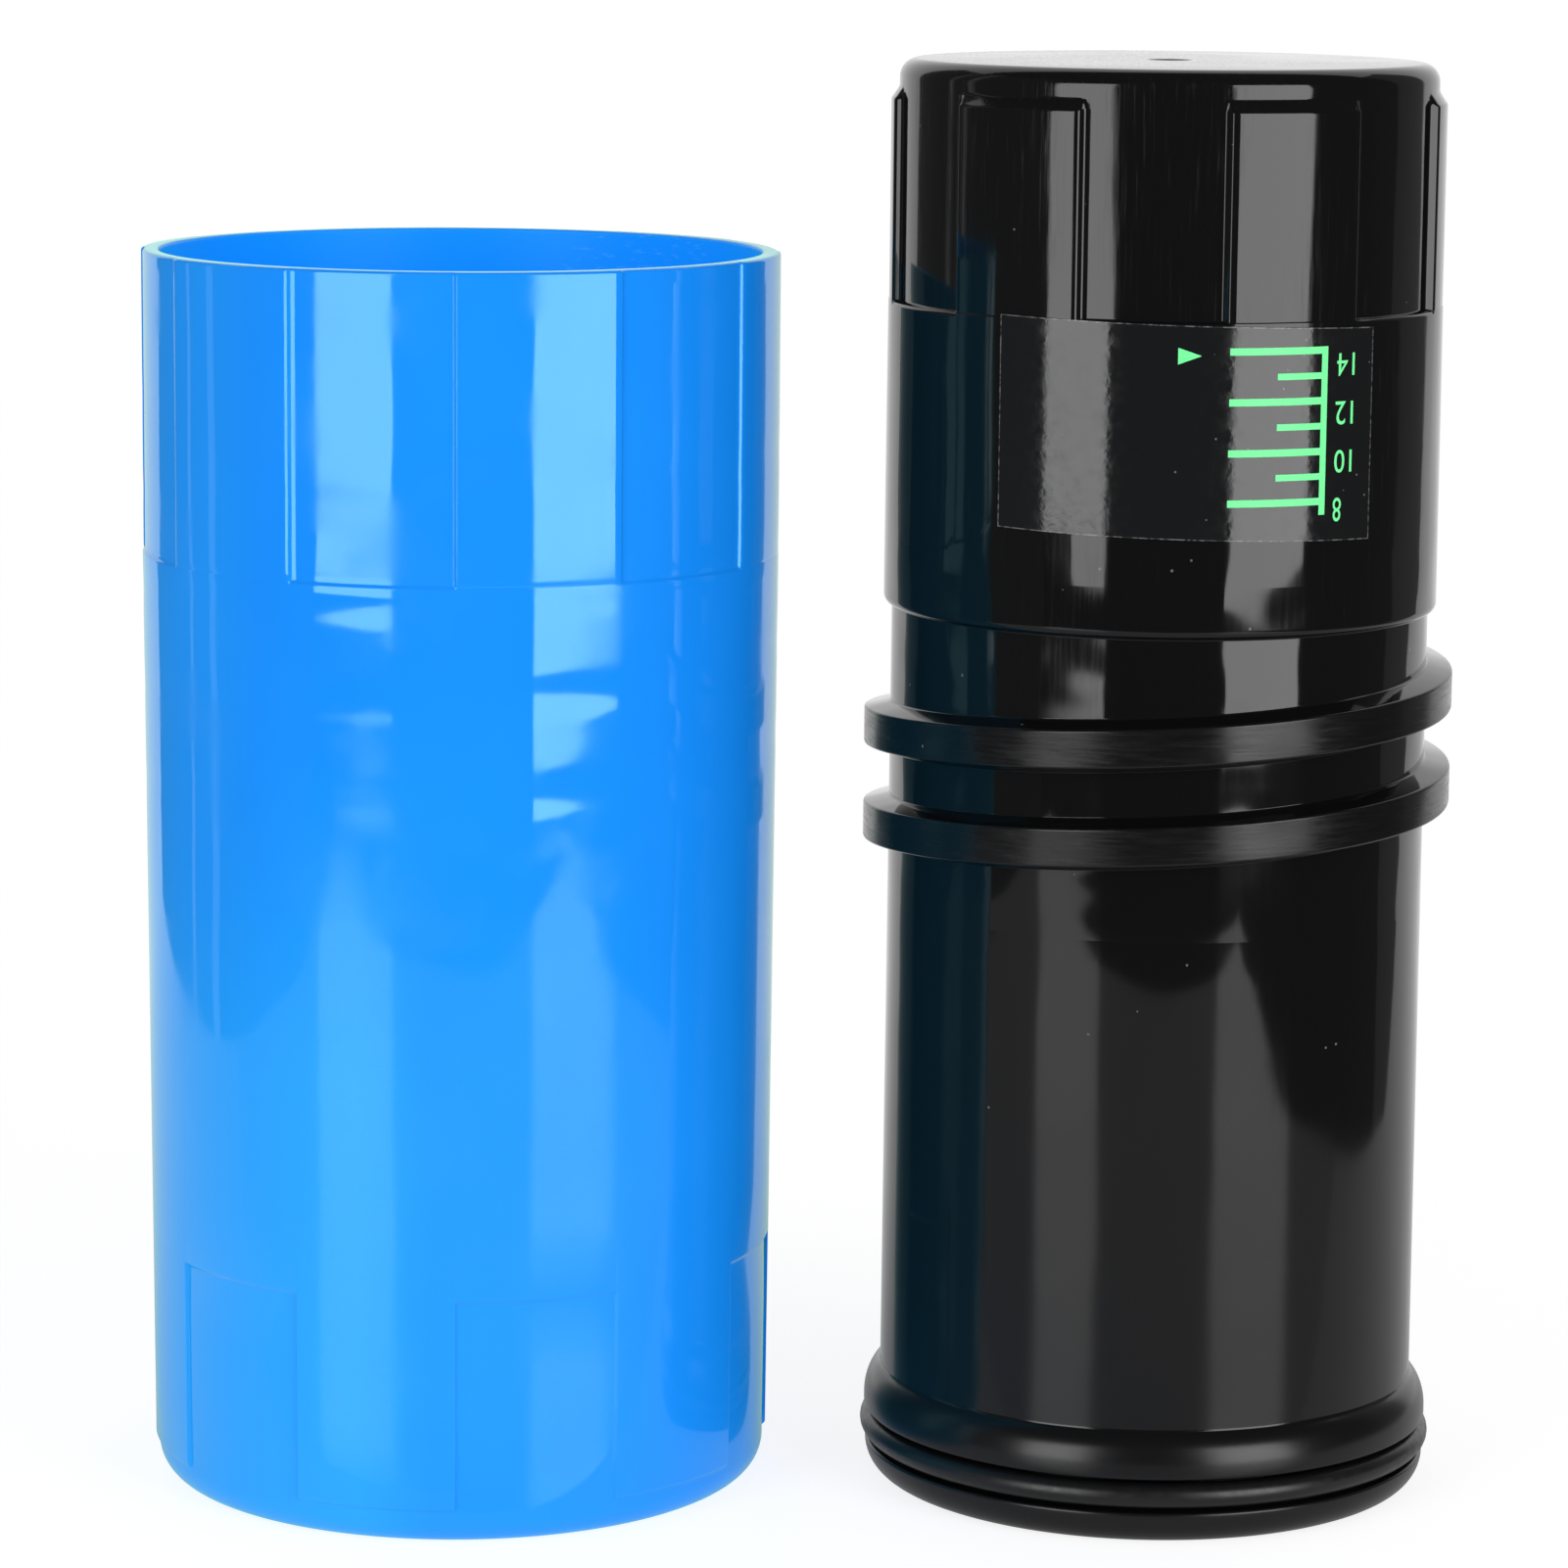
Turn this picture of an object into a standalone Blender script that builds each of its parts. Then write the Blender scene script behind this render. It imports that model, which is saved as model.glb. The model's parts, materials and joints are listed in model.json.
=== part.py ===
# Ball pressurizer in two halves that stand side by side: a blue outer cup, open at the top,
# and a black inner unit, a ball tube that stands on its open end.
# In use the unit is pushed into the cup and turned: a coarse right-hand thread draws the
# unit in, and a rubber ring near its open end seals against the bore of the cup.
# Metres, +Z up. The origin is on the floor, midway across the width of the pair.
# Angles are in degrees round each axis: 0 faces the viewer (-Y), +90 is the viewer's right (+X).

import math

import bmesh
import bpy

MM = 0.001

# Driving dimensions of the outer cup
CUP_HEIGHT = 176.3 * MM
CUP_RADIUS = 45.0 * MM
CUP_FOOT_RADIUS = 44.17 * MM
CUP_CORNER = 4.8 * MM
CUP_FLOOR = 3.5 * MM
CUP_RIM_WALL = 2.7 * MM
CUP_RIM_EDGE = 0.5 * MM
CUP_SEAM_Z = 133.9 * MM
CUP_LAND_DEPTH = 0.35 * MM
CUP_RECESS_TOP_Z = 35.0 * MM
CUP_RECESS_FOOT_Z = 5.2 * MM
CUP_RECESS_DEPTH = 0.45 * MM
CUP_PAD_PHASE = 17.2

# Bores of the cup: a wide one for the thread, a narrow one for the seal
THREAD_BORE_RADIUS = 42.05 * MM
THREAD_BORE_Z = 91.5 * MM
SEAL_BORE_RADIUS = 40.9 * MM
LEAD_IN_HEIGHT = 3.6 * MM
CUP_INNER_CORNER = 4.5 * MM

# Driving dimensions of the inner unit
UNIT_HEIGHT = 203.6 * MM
TUBE_RADIUS_LOW = 38.3 * MM
TUBE_RADIUS_HIGH = 38.0 * MM
BORE_RADIUS_LOW = 35.3 * MM
BORE_RADIUS_HIGH = 35.0 * MM
BORE_CORNER = 4.0 * MM
UNIT_END_WALL = 3.0 * MM
MOUTH_EDGE = 0.3 * MM

# Seal end of the inner unit
LIP_FOOT_RADIUS = 36.2 * MM
LIP_RADIUS = 40.4 * MM
LIP_HEIGHT = 4.9 * MM
LIP_EDGE = 0.45 * MM
GROOVE_RADIUS = 36.95 * MM
GROOVE_WIDTH = 4.6 * MM
SHOULDER_RADIUS = 40.6 * MM
SHOULDER_EDGE = 0.6 * MM
SHOULDER_FLAT_TOP = 10.9 * MM
SHOULDER_TOP = 16.0 * MM
SHOULDER_SWEEP = 65.0
SEAL_OUTER_RADIUS = 41.15 * MM
SEAL_CORD_RADIUS = 1.85 * MM
SEAL_SIDES = 12
SEAL_STEPS = 60

# Skirt and grip end of the inner unit
SKIRT_FOOT_Z = 127.0 * MM
SKIRT_FOOT_ROUND = 1.2 * MM
SKIRT_RADIUS_LOW = 39.15 * MM
SKIRT_RADIUS_HIGH = 39.0 * MM
GRIP_LEDGE_Z = 169.9 * MM
GRIP_PAD_RADIUS = 38.9 * MM
GRIP_LAND_RADIUS = 37.75 * MM
GRIP_PAD_TOP_Z = 198.1 * MM
GRIP_CHAMFER_TOP_Z = 199.65 * MM
UNIT_TOP_ROUND = 2.6 * MM
UNIT_PAD_PHASE = 23.6
GATE_RADIUS = 3.0 * MM
GATE_DEPTH = 0.6 * MM

# Coarse thread, right-hand, single start. The male thread has just over two turns. The female one
# has four and a half: faint sink marks outside the cup show how far it reaches.
PITCH = 13.6 * MM
MALE_FRONT_Z = 99.04 * MM
MALE_START = -200.0
MALE_END = 560.0
MALE_RADIUS = 41.7 * MM
MALE_CREST = 5.4 * MM
MALE_BASE = 7.4 * MM
FEMALE_FRONT_Z = 104.7 * MM
FEMALE_START = -230.0
FEMALE_END = 1410.0
FEMALE_RADIUS = 41.2 * MM
FEMALE_CREST = 4.0 * MM
FEMALE_BASE = 5.6 * MM
THREAD_FADE = 32.0
THREAD_STEP = 10.0
THREAD_ROOT = 0.6 * MM
THREAD_ROUND = 0.35 * MM

# Scale label wrapped round the skirt, a little off level
LABEL_LEFT = -38.0
LABEL_RIGHT = 42.2
LABEL_FOOT_Z = 140.65 * MM
LABEL_HEIGHT = 29.0 * MM
LABEL_TILT = -1.5
LABEL_THICKNESS = 0.18 * MM
LABEL_GAP = 0.12 * MM
LABEL_STEPS = 16

# The pair: the two axes stand this far apart
AXIS_DISTANCE = 99.15 * MM
PAIR_WIDTH = CUP_RADIUS + AXIS_DISTANCE + MALE_RADIUS
CUP_X = CUP_RADIUS - PAIR_WIDTH / 2
UNIT_X = PAIR_WIDTH / 2 - MALE_RADIUS

# Pads repeat six times round each half, each pad as wide as the land beside it
PAD_COUNT = 6
SECTOR = 360.0 / PAD_COUNT / 2
SECTOR_STEP = 7.5
CUP_STEP_SLOPE = 0.35
UNIT_STEP_SLOPE = 0.65
MOULD_EDGE = 0.25 * MM
CREASE_ANGLE = 32.0

BLUE = (0.015, 0.296, 1.0, 1.0)
BLACK = (0.012, 0.012, 0.013, 1.0)
RUBBER = (0.009, 0.009, 0.009, 1.0)
LABEL_BLACK = (0.016, 0.017, 0.017, 1.0)


def plastic(name, colour, roughness):
    """A plain opaque material with one colour and one roughness."""
    material = bpy.data.materials.new(name)
    material.use_nodes = True
    shader = material.node_tree.nodes["Principled BSDF"]
    shader.inputs["Base Color"].default_value = colour
    shader.inputs["Roughness"].default_value = roughness
    shader.inputs["Metallic"].default_value = 0.0
    return material


def polar(degrees, radius, height):
    """A point round the object's own axis, 0 degrees towards the viewer."""
    turn = math.radians(degrees)
    return (radius * math.sin(turn), -radius * math.cos(turn), height)


def blend(low, high, share):
    return low + (high - low) * share


def arc(centre_r, centre_z, radius_r, radius_z, start, end, steps):
    """Points (radius, height) of an elliptical arc in the turned profile."""
    points = []
    for step in range(steps + 1):
        turn = math.radians(blend(start, end, step / steps))
        points.append((centre_r + radius_r * math.cos(turn), centre_z + radius_z * math.sin(turn)))
    return points


def plain(points):
    """Profile stations that are the same on pads and lands."""
    return [(height, radius, radius) for radius, height in points]


def pad_angles(phase, slope):
    """Angles of one ring, each with True on a pad and False on a land."""
    angles = []
    for sector in range(2 * PAD_COUNT):
        start = phase - SECTOR / 2 + sector * SECTOR
        on_pad = sector % 2 == 0
        angles.append((start + slope, on_pad))
        offset = SECTOR_STEP
        while offset < SECTOR - SECTOR_STEP / 2:
            angles.append((start + offset, on_pad))
            offset += SECTOR_STEP
        angles.append((start + SECTOR - slope, on_pad))
    return angles


def turned_body(name, stations, angles, start_centre_z, end_centre_z, material):
    """A closed body lofted through rings; both ends of the profile close on the axis."""
    mesh_builder = bmesh.new()
    rings = []
    for height, pad_radius, land_radius in stations:
        ring = []
        for degrees, on_pad in angles:
            radius = pad_radius if on_pad else land_radius
            ring.append(mesh_builder.verts.new(polar(degrees, radius, height)))
        rings.append(ring)
    first = mesh_builder.verts.new((0.0, 0.0, start_centre_z))
    last = mesh_builder.verts.new((0.0, 0.0, end_centre_z))
    count = len(angles)
    for index in range(count):
        after = (index + 1) % count
        mesh_builder.faces.new((first, rings[0][after], rings[0][index]))
        for lower, upper in zip(rings, rings[1:]):
            mesh_builder.faces.new((lower[index], lower[after], upper[after], upper[index]))
        mesh_builder.faces.new((rings[-1][index], rings[-1][after], last))
    return finish_object(name, mesh_builder, material)


def finish_object(name, mesh_builder, material):
    mesh = bpy.data.meshes.new(name)
    mesh_builder.to_mesh(mesh)
    mesh_builder.free()
    mesh.materials.append(material)
    mesh.shade_smooth()
    mesh.set_sharp_from_angle(angle=math.radians(CREASE_ANGLE))
    item = bpy.data.objects.new(name, mesh)
    bpy.context.scene.collection.objects.link(item)
    return item


def ridge_section(root_radius, crest_radius, crest_width, base_width, height_share):
    """Half-open outline of a thread ridge as (radius, offset along the axis) points."""
    crest = blend(root_radius, crest_radius, height_share)
    outward = 1.0 if crest_radius > root_radius else -1.0
    corner = THREAD_ROUND * max(height_share, 0.2)
    inside = root_radius - outward * THREAD_ROOT
    return [
        (inside, -base_width / 2),
        (crest - outward * corner, -crest_width / 2),
        (crest, corner - crest_width / 2),
        (crest, crest_width / 2 - corner),
        (crest - outward * corner, crest_width / 2),
        (inside, base_width / 2),
    ]


def helical_ridge(name, front_z, start, end, root_radius, crest_radius, crest_width, base_width):
    """A right-hand ridge swept up the helix; its height fades into the wall at both ends."""
    mesh_builder = bmesh.new()
    steps = round((end - start) / THREAD_STEP)
    sections = []
    for step in range(steps + 1):
        degrees = blend(start, end, step / steps)
        reach = min(degrees - start, end - degrees) / THREAD_FADE
        share = math.sin(math.radians(90) * min(1.0, reach))
        share = blend(-THREAD_ROOT / abs(crest_radius - root_radius) / 2, 1.0, share)
        height = front_z + PITCH * degrees / 360
        section = []
        for radius, offset in ridge_section(root_radius, crest_radius, crest_width, base_width, share):
            section.append(mesh_builder.verts.new(polar(degrees, radius, height + offset)))
        sections.append(section)
    corners = len(sections[0])
    for before, behind in zip(sections, sections[1:]):
        for corner in range(corners):
            after = (corner + 1) % corners
            mesh_builder.faces.new((before[corner], behind[corner], behind[after], before[after]))
    mesh_builder.faces.new(sections[0])
    mesh_builder.faces.new(reversed(sections[-1]))
    bmesh.ops.recalc_face_normals(mesh_builder, faces=mesh_builder.faces)
    ridge = finish_object(name, mesh_builder, bpy.data.materials["guide"])
    ridge.hide_render = True
    ridge.display_type = "WIRE"
    return ridge


def join_ridge(body, ridge):
    """Moulds a ridge onto its wall with a Boolean union."""
    union = body.modifiers.new("moulded_ridge", "BOOLEAN")
    union.operation = "UNION"
    union.solver = "EXACT"
    union.object = ridge


def cup_wall_radius(height):
    """Outer radius of the cup's drafted wall below the seam."""
    return blend(CUP_FOOT_RADIUS, CUP_RADIUS, min(1.0, height / CUP_SEAM_Z))


def cup_stations():
    """Cup profile from the middle of the base, up the outside, over the rim and down the inside.

    Each station is (height, radius on the pad angles, radius between them). The pad angles are
    raised between the seam and the rim, and the same angles are recessed near the foot.
    """
    base = CUP_FOOT_RADIUS - CUP_RECESS_DEPTH
    stations = plain([(GATE_RADIUS - GATE_DEPTH, GATE_DEPTH), (GATE_RADIUS, 0.0)])
    stations += plain(arc(base - CUP_CORNER, CUP_CORNER, CUP_CORNER, CUP_CORNER, -90, 0, 5))
    stations += plain([(base, CUP_RECESS_FOOT_Z)])
    for rise, inset in ((MOULD_EDGE, MOULD_EDGE), (2 * MOULD_EDGE, 0.0)):
        height = CUP_RECESS_FOOT_Z + rise
        stations.append((height, base, cup_wall_radius(height) - inset))
    top = cup_wall_radius(CUP_RECESS_TOP_Z)
    stations.append((CUP_RECESS_TOP_Z - MOULD_EDGE, top - CUP_RECESS_DEPTH, top))
    stations.append((CUP_RECESS_TOP_Z, top - MOULD_EDGE, top))
    stations.append((CUP_RECESS_TOP_Z + MOULD_EDGE, top, top))
    stations.append((CUP_SEAM_Z - MOULD_EDGE, CUP_RADIUS, CUP_RADIUS))
    stations.append((CUP_SEAM_Z + MOULD_EDGE, CUP_RADIUS, CUP_RADIUS - CUP_LAND_DEPTH))
    edge_z = CUP_HEIGHT - CUP_RIM_EDGE
    for radius, height in arc(CUP_RADIUS - CUP_RIM_EDGE, edge_z, CUP_RIM_EDGE, CUP_RIM_EDGE, 0, 90, 3):
        stations.append((height, radius, radius - CUP_LAND_DEPTH))
    inner_edge = CUP_RADIUS - CUP_RIM_WALL + CUP_RIM_EDGE
    stations += plain(arc(inner_edge, edge_z, CUP_RIM_EDGE, CUP_RIM_EDGE, 90, 180, 3))
    stations += plain([(THREAD_BORE_RADIUS, THREAD_BORE_Z),
                       (SEAL_BORE_RADIUS, THREAD_BORE_Z - LEAD_IN_HEIGHT)])
    floor_edge = SEAL_BORE_RADIUS - CUP_INNER_CORNER
    stations += plain(arc(floor_edge, CUP_FLOOR + CUP_INNER_CORNER, CUP_INNER_CORNER, CUP_INNER_CORNER,
                          0, -90, 4))
    return stations


def make_outer_cup(material):
    angles = pad_angles(CUP_PAD_PHASE, CUP_STEP_SLOPE)
    cup = turned_body("outer_cup", cup_stations(), angles, GATE_DEPTH, CUP_FLOOR, material)
    ridge = helical_ridge(
        "cup_thread", FEMALE_FRONT_Z, FEMALE_START, FEMALE_END,
        THREAD_BORE_RADIUS, FEMALE_RADIUS, FEMALE_CREST, FEMALE_BASE,
    )
    join_ridge(cup, ridge)
    for item in (cup, ridge):
        item.location = (CUP_X, 0.0, 0.0)
    return cup


def seal_end_profile():
    """Outside of the seal end, from the foot of the lip up to the tube."""
    groove_top = LIP_HEIGHT + GROOVE_WIDTH
    lip = arc(LIP_FOOT_RADIUS, LIP_HEIGHT - LIP_EDGE, LIP_RADIUS - LIP_FOOT_RADIUS,
              LIP_HEIGHT - LIP_EDGE, -90, 0, 4)
    lip.append((LIP_RADIUS - LIP_EDGE, LIP_HEIGHT))
    groove = [(GROOVE_RADIUS, LIP_HEIGHT), (GROOVE_RADIUS, groove_top)]
    lower_edge = [(SHOULDER_RADIUS - SHOULDER_EDGE, groove_top), (SHOULDER_RADIUS, groove_top + SHOULDER_EDGE)]
    sweep = math.radians(SHOULDER_SWEEP)
    across = (SHOULDER_RADIUS - TUBE_RADIUS_LOW) / (1 - math.cos(sweep))
    rise = (SHOULDER_TOP - SHOULDER_FLAT_TOP) / math.sin(sweep)
    bulge = arc(SHOULDER_RADIUS - across, SHOULDER_FLAT_TOP, across, rise, 0, SHOULDER_SWEEP, 4)
    return lip + groove + lower_edge + bulge


def unit_stations():
    """Unit profile from the ceiling of the bore, down the inside and up the outside to the top.

    Each station is (height, radius on the grip pads, radius on the lands between them).
    """
    ceiling = UNIT_HEIGHT - UNIT_END_WALL
    stations = plain(arc(BORE_RADIUS_HIGH - BORE_CORNER, ceiling - BORE_CORNER,
                         BORE_CORNER, BORE_CORNER, 90, 0, 3))
    stations += plain([(BORE_RADIUS_LOW, MOUTH_EDGE), (BORE_RADIUS_LOW + MOUTH_EDGE, 0.0)])
    stations += plain(seal_end_profile())
    stations += plain([(TUBE_RADIUS_HIGH, SKIRT_FOOT_Z)])
    round_width = SKIRT_RADIUS_LOW - TUBE_RADIUS_HIGH - MOULD_EDGE
    stations += plain(arc(SKIRT_RADIUS_LOW - round_width, SKIRT_FOOT_Z + SKIRT_FOOT_ROUND,
                          round_width, SKIRT_FOOT_ROUND, -90, 0, 3))
    stations.append((GRIP_LEDGE_Z - 2 * MOULD_EDGE, SKIRT_RADIUS_HIGH, SKIRT_RADIUS_HIGH))
    stations.append((GRIP_LEDGE_Z - MOULD_EDGE, SKIRT_RADIUS_HIGH, SKIRT_RADIUS_HIGH - MOULD_EDGE))
    stations.append((GRIP_LEDGE_Z, SKIRT_RADIUS_HIGH, GRIP_LAND_RADIUS))
    stations.append((GRIP_PAD_TOP_Z - MOULD_EDGE, GRIP_PAD_RADIUS, GRIP_LAND_RADIUS))
    stations.append((GRIP_PAD_TOP_Z + MOULD_EDGE, GRIP_PAD_RADIUS - MOULD_EDGE, GRIP_LAND_RADIUS))
    stations.append((GRIP_CHAMFER_TOP_Z, GRIP_LAND_RADIUS, GRIP_LAND_RADIUS))
    stations += plain(arc(GRIP_LAND_RADIUS - UNIT_TOP_ROUND, UNIT_HEIGHT - UNIT_TOP_ROUND,
                          UNIT_TOP_ROUND, UNIT_TOP_ROUND, 0, 90, 4))
    stations += plain([(GATE_RADIUS, UNIT_HEIGHT), (GATE_RADIUS - GATE_DEPTH, UNIT_HEIGHT - GATE_DEPTH)])
    return stations


def make_inner_tube(material, parent):
    angles = pad_angles(UNIT_PAD_PHASE, UNIT_STEP_SLOPE)
    tube = turned_body("inner_tube", unit_stations(), angles, UNIT_HEIGHT - UNIT_END_WALL,
                       UNIT_HEIGHT - GATE_DEPTH, material)
    ridge = helical_ridge(
        "tube_thread", MALE_FRONT_Z, MALE_START, MALE_END,
        TUBE_RADIUS_HIGH, MALE_RADIUS, MALE_CREST, MALE_BASE,
    )
    join_ridge(tube, ridge)
    for item in (tube, ridge):
        item.parent = parent
    return tube


def make_seal_ring(material, parent):
    """Round rubber cord in the groove, with a little play at both walls."""
    centre_radius = SEAL_OUTER_RADIUS - SEAL_CORD_RADIUS
    centre_z = LIP_HEIGHT + GROOVE_WIDTH / 2
    section = arc(centre_radius, centre_z, SEAL_CORD_RADIUS, SEAL_CORD_RADIUS, 0, 360, SEAL_SIDES)[:-1]
    mesh_builder = bmesh.new()
    loop = [mesh_builder.verts.new(polar(0.0, radius, height)) for radius, height in section]
    edges = [mesh_builder.edges.new(pair) for pair in zip(loop, loop[1:] + loop[:1])]
    bmesh.ops.spin(mesh_builder, geom=edges, cent=(0, 0, 0), axis=(0, 0, 1), angle=math.radians(360),
                   steps=SEAL_STEPS, use_merge=True)
    bmesh.ops.recalc_face_normals(mesh_builder, faces=mesh_builder.faces)
    ring = finish_object("seal_ring", mesh_builder, material)
    ring.parent = parent
    return ring


def make_scale_label(material, parent):
    """Thin sticker bent round the skirt; its sides are upright, its long edges run off level."""
    inner = SKIRT_RADIUS_LOW + LABEL_GAP
    outer = inner + LABEL_THICKNESS
    width = math.radians(LABEL_RIGHT - LABEL_LEFT) * inner
    slope = math.tan(math.radians(LABEL_TILT))
    mesh_builder = bmesh.new()
    layers = []
    for radius in (inner, outer):
        rows = []
        for foot in (LABEL_FOOT_Z, LABEL_FOOT_Z + LABEL_HEIGHT):
            row = []
            for step in range(LABEL_STEPS + 1):
                degrees = blend(LABEL_LEFT, LABEL_RIGHT, step / LABEL_STEPS)
                height = foot + slope * width * (step / LABEL_STEPS - 0.5)
                row.append(mesh_builder.verts.new(polar(degrees, radius, height)))
            rows.append(row)
        layers.append(rows)
    (inner_low, inner_high), (outer_low, outer_high) = layers
    for here in range(LABEL_STEPS):
        there = here + 1
        mesh_builder.faces.new((outer_low[here], outer_low[there], outer_high[there], outer_high[here]))
        mesh_builder.faces.new((inner_low[here], inner_high[here], inner_high[there], inner_low[there]))
        mesh_builder.faces.new((outer_high[here], outer_high[there], inner_high[there], inner_high[here]))
        mesh_builder.faces.new((outer_low[here], inner_low[here], inner_low[there], outer_low[there]))
    mesh_builder.faces.new((outer_low[0], outer_high[0], inner_high[0], inner_low[0]))
    mesh_builder.faces.new((outer_low[-1], inner_low[-1], inner_high[-1], outer_high[-1]))
    label = finish_object("scale_label", mesh_builder, material)
    label.parent = parent
    return label


def main():
    for item in list(bpy.data.objects):
        bpy.data.objects.remove(item, do_unlink=True)
    plastic("guide", BLACK, 0.5)
    make_outer_cup(plastic("blue_plastic", BLUE, 0.12))
    unit_axis = bpy.data.objects.new("unit_axis", None)
    unit_axis.location = (UNIT_X, 0.0, 0.0)
    bpy.context.scene.collection.objects.link(unit_axis)
    make_inner_tube(plastic("black_plastic", BLACK, 0.12), unit_axis)
    make_seal_ring(plastic("seal_rubber", RUBBER, 0.35), unit_axis)
    make_scale_label(plastic("label_film", LABEL_BLACK, 0.2), unit_axis)


main()
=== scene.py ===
# %% [markdown]
# # A ball pressurizer in two halves
#
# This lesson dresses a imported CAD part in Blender. The part is a blue plastic cup and a black ball
# tube that stands beside it. The tube screws into the cup, and a rubber ring near its open end
# holds the air. Every number is a real size, and the two halves stand where the CAD put them.
#
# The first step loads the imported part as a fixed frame. The halves could be placed by eye or by
# copied numbers. Read from the frame, the names of the pieces, the bodies that they move with and
# the place of each axis can't drift away from the CAD. Lengths are in metres, and angles in degrees
# where no cell says otherwise.

# %% Load the frame
import json
import math

import bmesh
import bpy
from mathutils import Matrix, Vector


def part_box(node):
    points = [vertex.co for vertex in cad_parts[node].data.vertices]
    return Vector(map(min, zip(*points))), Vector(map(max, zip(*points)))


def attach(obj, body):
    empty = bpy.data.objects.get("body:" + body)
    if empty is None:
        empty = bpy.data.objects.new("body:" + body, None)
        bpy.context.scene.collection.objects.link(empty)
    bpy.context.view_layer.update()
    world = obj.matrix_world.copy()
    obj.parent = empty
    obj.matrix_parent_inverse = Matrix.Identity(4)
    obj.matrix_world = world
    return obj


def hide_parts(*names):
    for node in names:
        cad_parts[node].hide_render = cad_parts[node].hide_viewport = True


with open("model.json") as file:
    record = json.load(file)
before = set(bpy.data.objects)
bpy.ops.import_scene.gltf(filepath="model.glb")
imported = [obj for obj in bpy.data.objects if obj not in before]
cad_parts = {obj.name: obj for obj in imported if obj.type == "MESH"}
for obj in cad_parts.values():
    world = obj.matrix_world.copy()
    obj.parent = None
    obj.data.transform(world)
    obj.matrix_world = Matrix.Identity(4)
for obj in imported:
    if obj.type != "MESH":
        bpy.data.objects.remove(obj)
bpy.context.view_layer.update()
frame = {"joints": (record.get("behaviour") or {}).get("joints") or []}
MM = 0.001
turning = {joint["name"]: joint for joint in frame["joints"]}["unit_turn"]
unit_x = turning["pos_m"][0]
cup_low, cup_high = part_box("outer_cup")
cup_x = (cup_low.x + cup_high.x) / 2

# %% [markdown]
# ## Turned plastic
#
# Both halves came out of moulds that were turned on a lathe and then cut with six shallow pads. The
# CAD solids have few faces, which is right for a solid but shows in a mirror-like gloss. A bevel or
# a subdivision modifier would round them, but a gloss shows every pinched face. So the two shells
# are lofted again here from the same sizes, with many more rings.
#
# A point is given by its angle round the axis, its radius and its height. Zero degrees faces the
# viewer and plus ninety is the viewer's right. A ring has its angles packed close together at the
# flanks of the pads, where the shape changes, and spread out where it is plainly round.

# %% Points, steps and rings
PADS = 6
SECTOR = 30.0
PLAIN_STEP = 1.25
FLANK_SHARES = (-0.5, -0.3, -0.12, 0.12, 0.3, 0.5)


def polar(axis_x, degrees, radius, height):
    turn = math.radians(degrees)
    return (axis_x + radius * math.sin(turn), -radius * math.cos(turn), height)


def between(low, high, share):
    return low + (high - low) * share


def eased(share):
    share = min(1.0, max(0.0, share))
    return share * share * (3 - 2 * share)


def pad_share(degrees, phase, flank):
    """1 on a pad, 0 on the land beside it, with a smooth flank."""
    away = abs((degrees - phase + SECTOR) % (2 * SECTOR) - SECTOR)
    return eased((SECTOR / 2 + flank / 2 - away) / flank)


def ring_angles(phase, flank):
    angles = []
    for sector in range(2 * PADS):
        edge = phase - SECTOR / 2 + sector * SECTOR
        angles += [edge + flank * share for share in FLANK_SHARES]
        reach = SECTOR - flank
        steps = round(reach / PLAIN_STEP)
        start = edge + flank / 2
        angles += [start + reach * step / steps for step in range(1, steps)]
    return angles


def arc(centre_r, centre_z, radius_r, radius_z, start, end, steps):
    """Points (radius, height) of a round corner in the turned profile."""
    points = []
    for step in range(steps + 1):
        turn = math.radians(between(start, end, step / steps))
        points.append((centre_r + radius_r * math.cos(turn), centre_z + radius_z * math.sin(turn)))
    return points


def both(points):
    """Stations (height, pad radius, land radius) of a stretch with no pads."""
    return [(height, radius, radius) for radius, height in points]


print("a ring has", len(ring_angles(0.0, 1.0)), "points")

# %% [markdown]
# ## From rings to a closed shell
#
# The loft joins each ring to the next with quads and closes both ends on the axis. A spin or a screw
# modifier would do for a plain pot, but not for pads that come and go with the height. The shell is
# smooth shaded, and only edges that turn by more than a third of a right angle stay crisp. Sharp
# corners on moulded plastic are really tiny rounds, so the profiles carry those rounds themselves.

# %% Loft a shell
CRISP_DEGREES = 32.0


def mesh_object(name, points, faces):
    mesh = bpy.data.meshes.new(name)
    mesh.from_pydata(points, [], faces)
    mesh.validate()
    piece = bpy.data.objects.new(name, mesh)
    bpy.context.scene.collection.objects.link(piece)
    return piece


def shade(piece):
    piece.data.shade_smooth()
    piece.data.set_sharp_from_angle(angle=math.radians(CRISP_DEGREES))
    return piece


def loft(name, rings, first, last):
    """Closed shell through rings of points, closed on the axis at the points first and last."""
    count = len(rings[0])
    points = [point for ring in rings for point in ring] + [first, last]
    first_at, last_at = len(points) - 2, len(points) - 1
    top = (len(rings) - 1) * count
    faces = []
    for index in range(count):
        after = (index + 1) % count
        faces.append((first_at, after, index))
        for row in range(0, top, count):
            faces.append((row + index, row + after, row + count + after, row + count + index))
        faces.append((top + index, top + after, last_at))
    return mesh_object(name, points, faces)


print("edges over", CRISP_DEGREES, "degrees stay crisp")

# %% [markdown]
# ## The thread
#
# A coarse right-hand thread is one ridge that climbs 13.6 mm in each turn. A screw modifier could
# sweep it, but it can't fade the ends. So the ridge is built ring by ring as a closed bar that sinks
# a little into the wall. At both ends it dives under the wall, as the cutter leaves it. Small
# fillets at the root and rounds at the crest catch thin lines of light, as the real moulding does.

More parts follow.
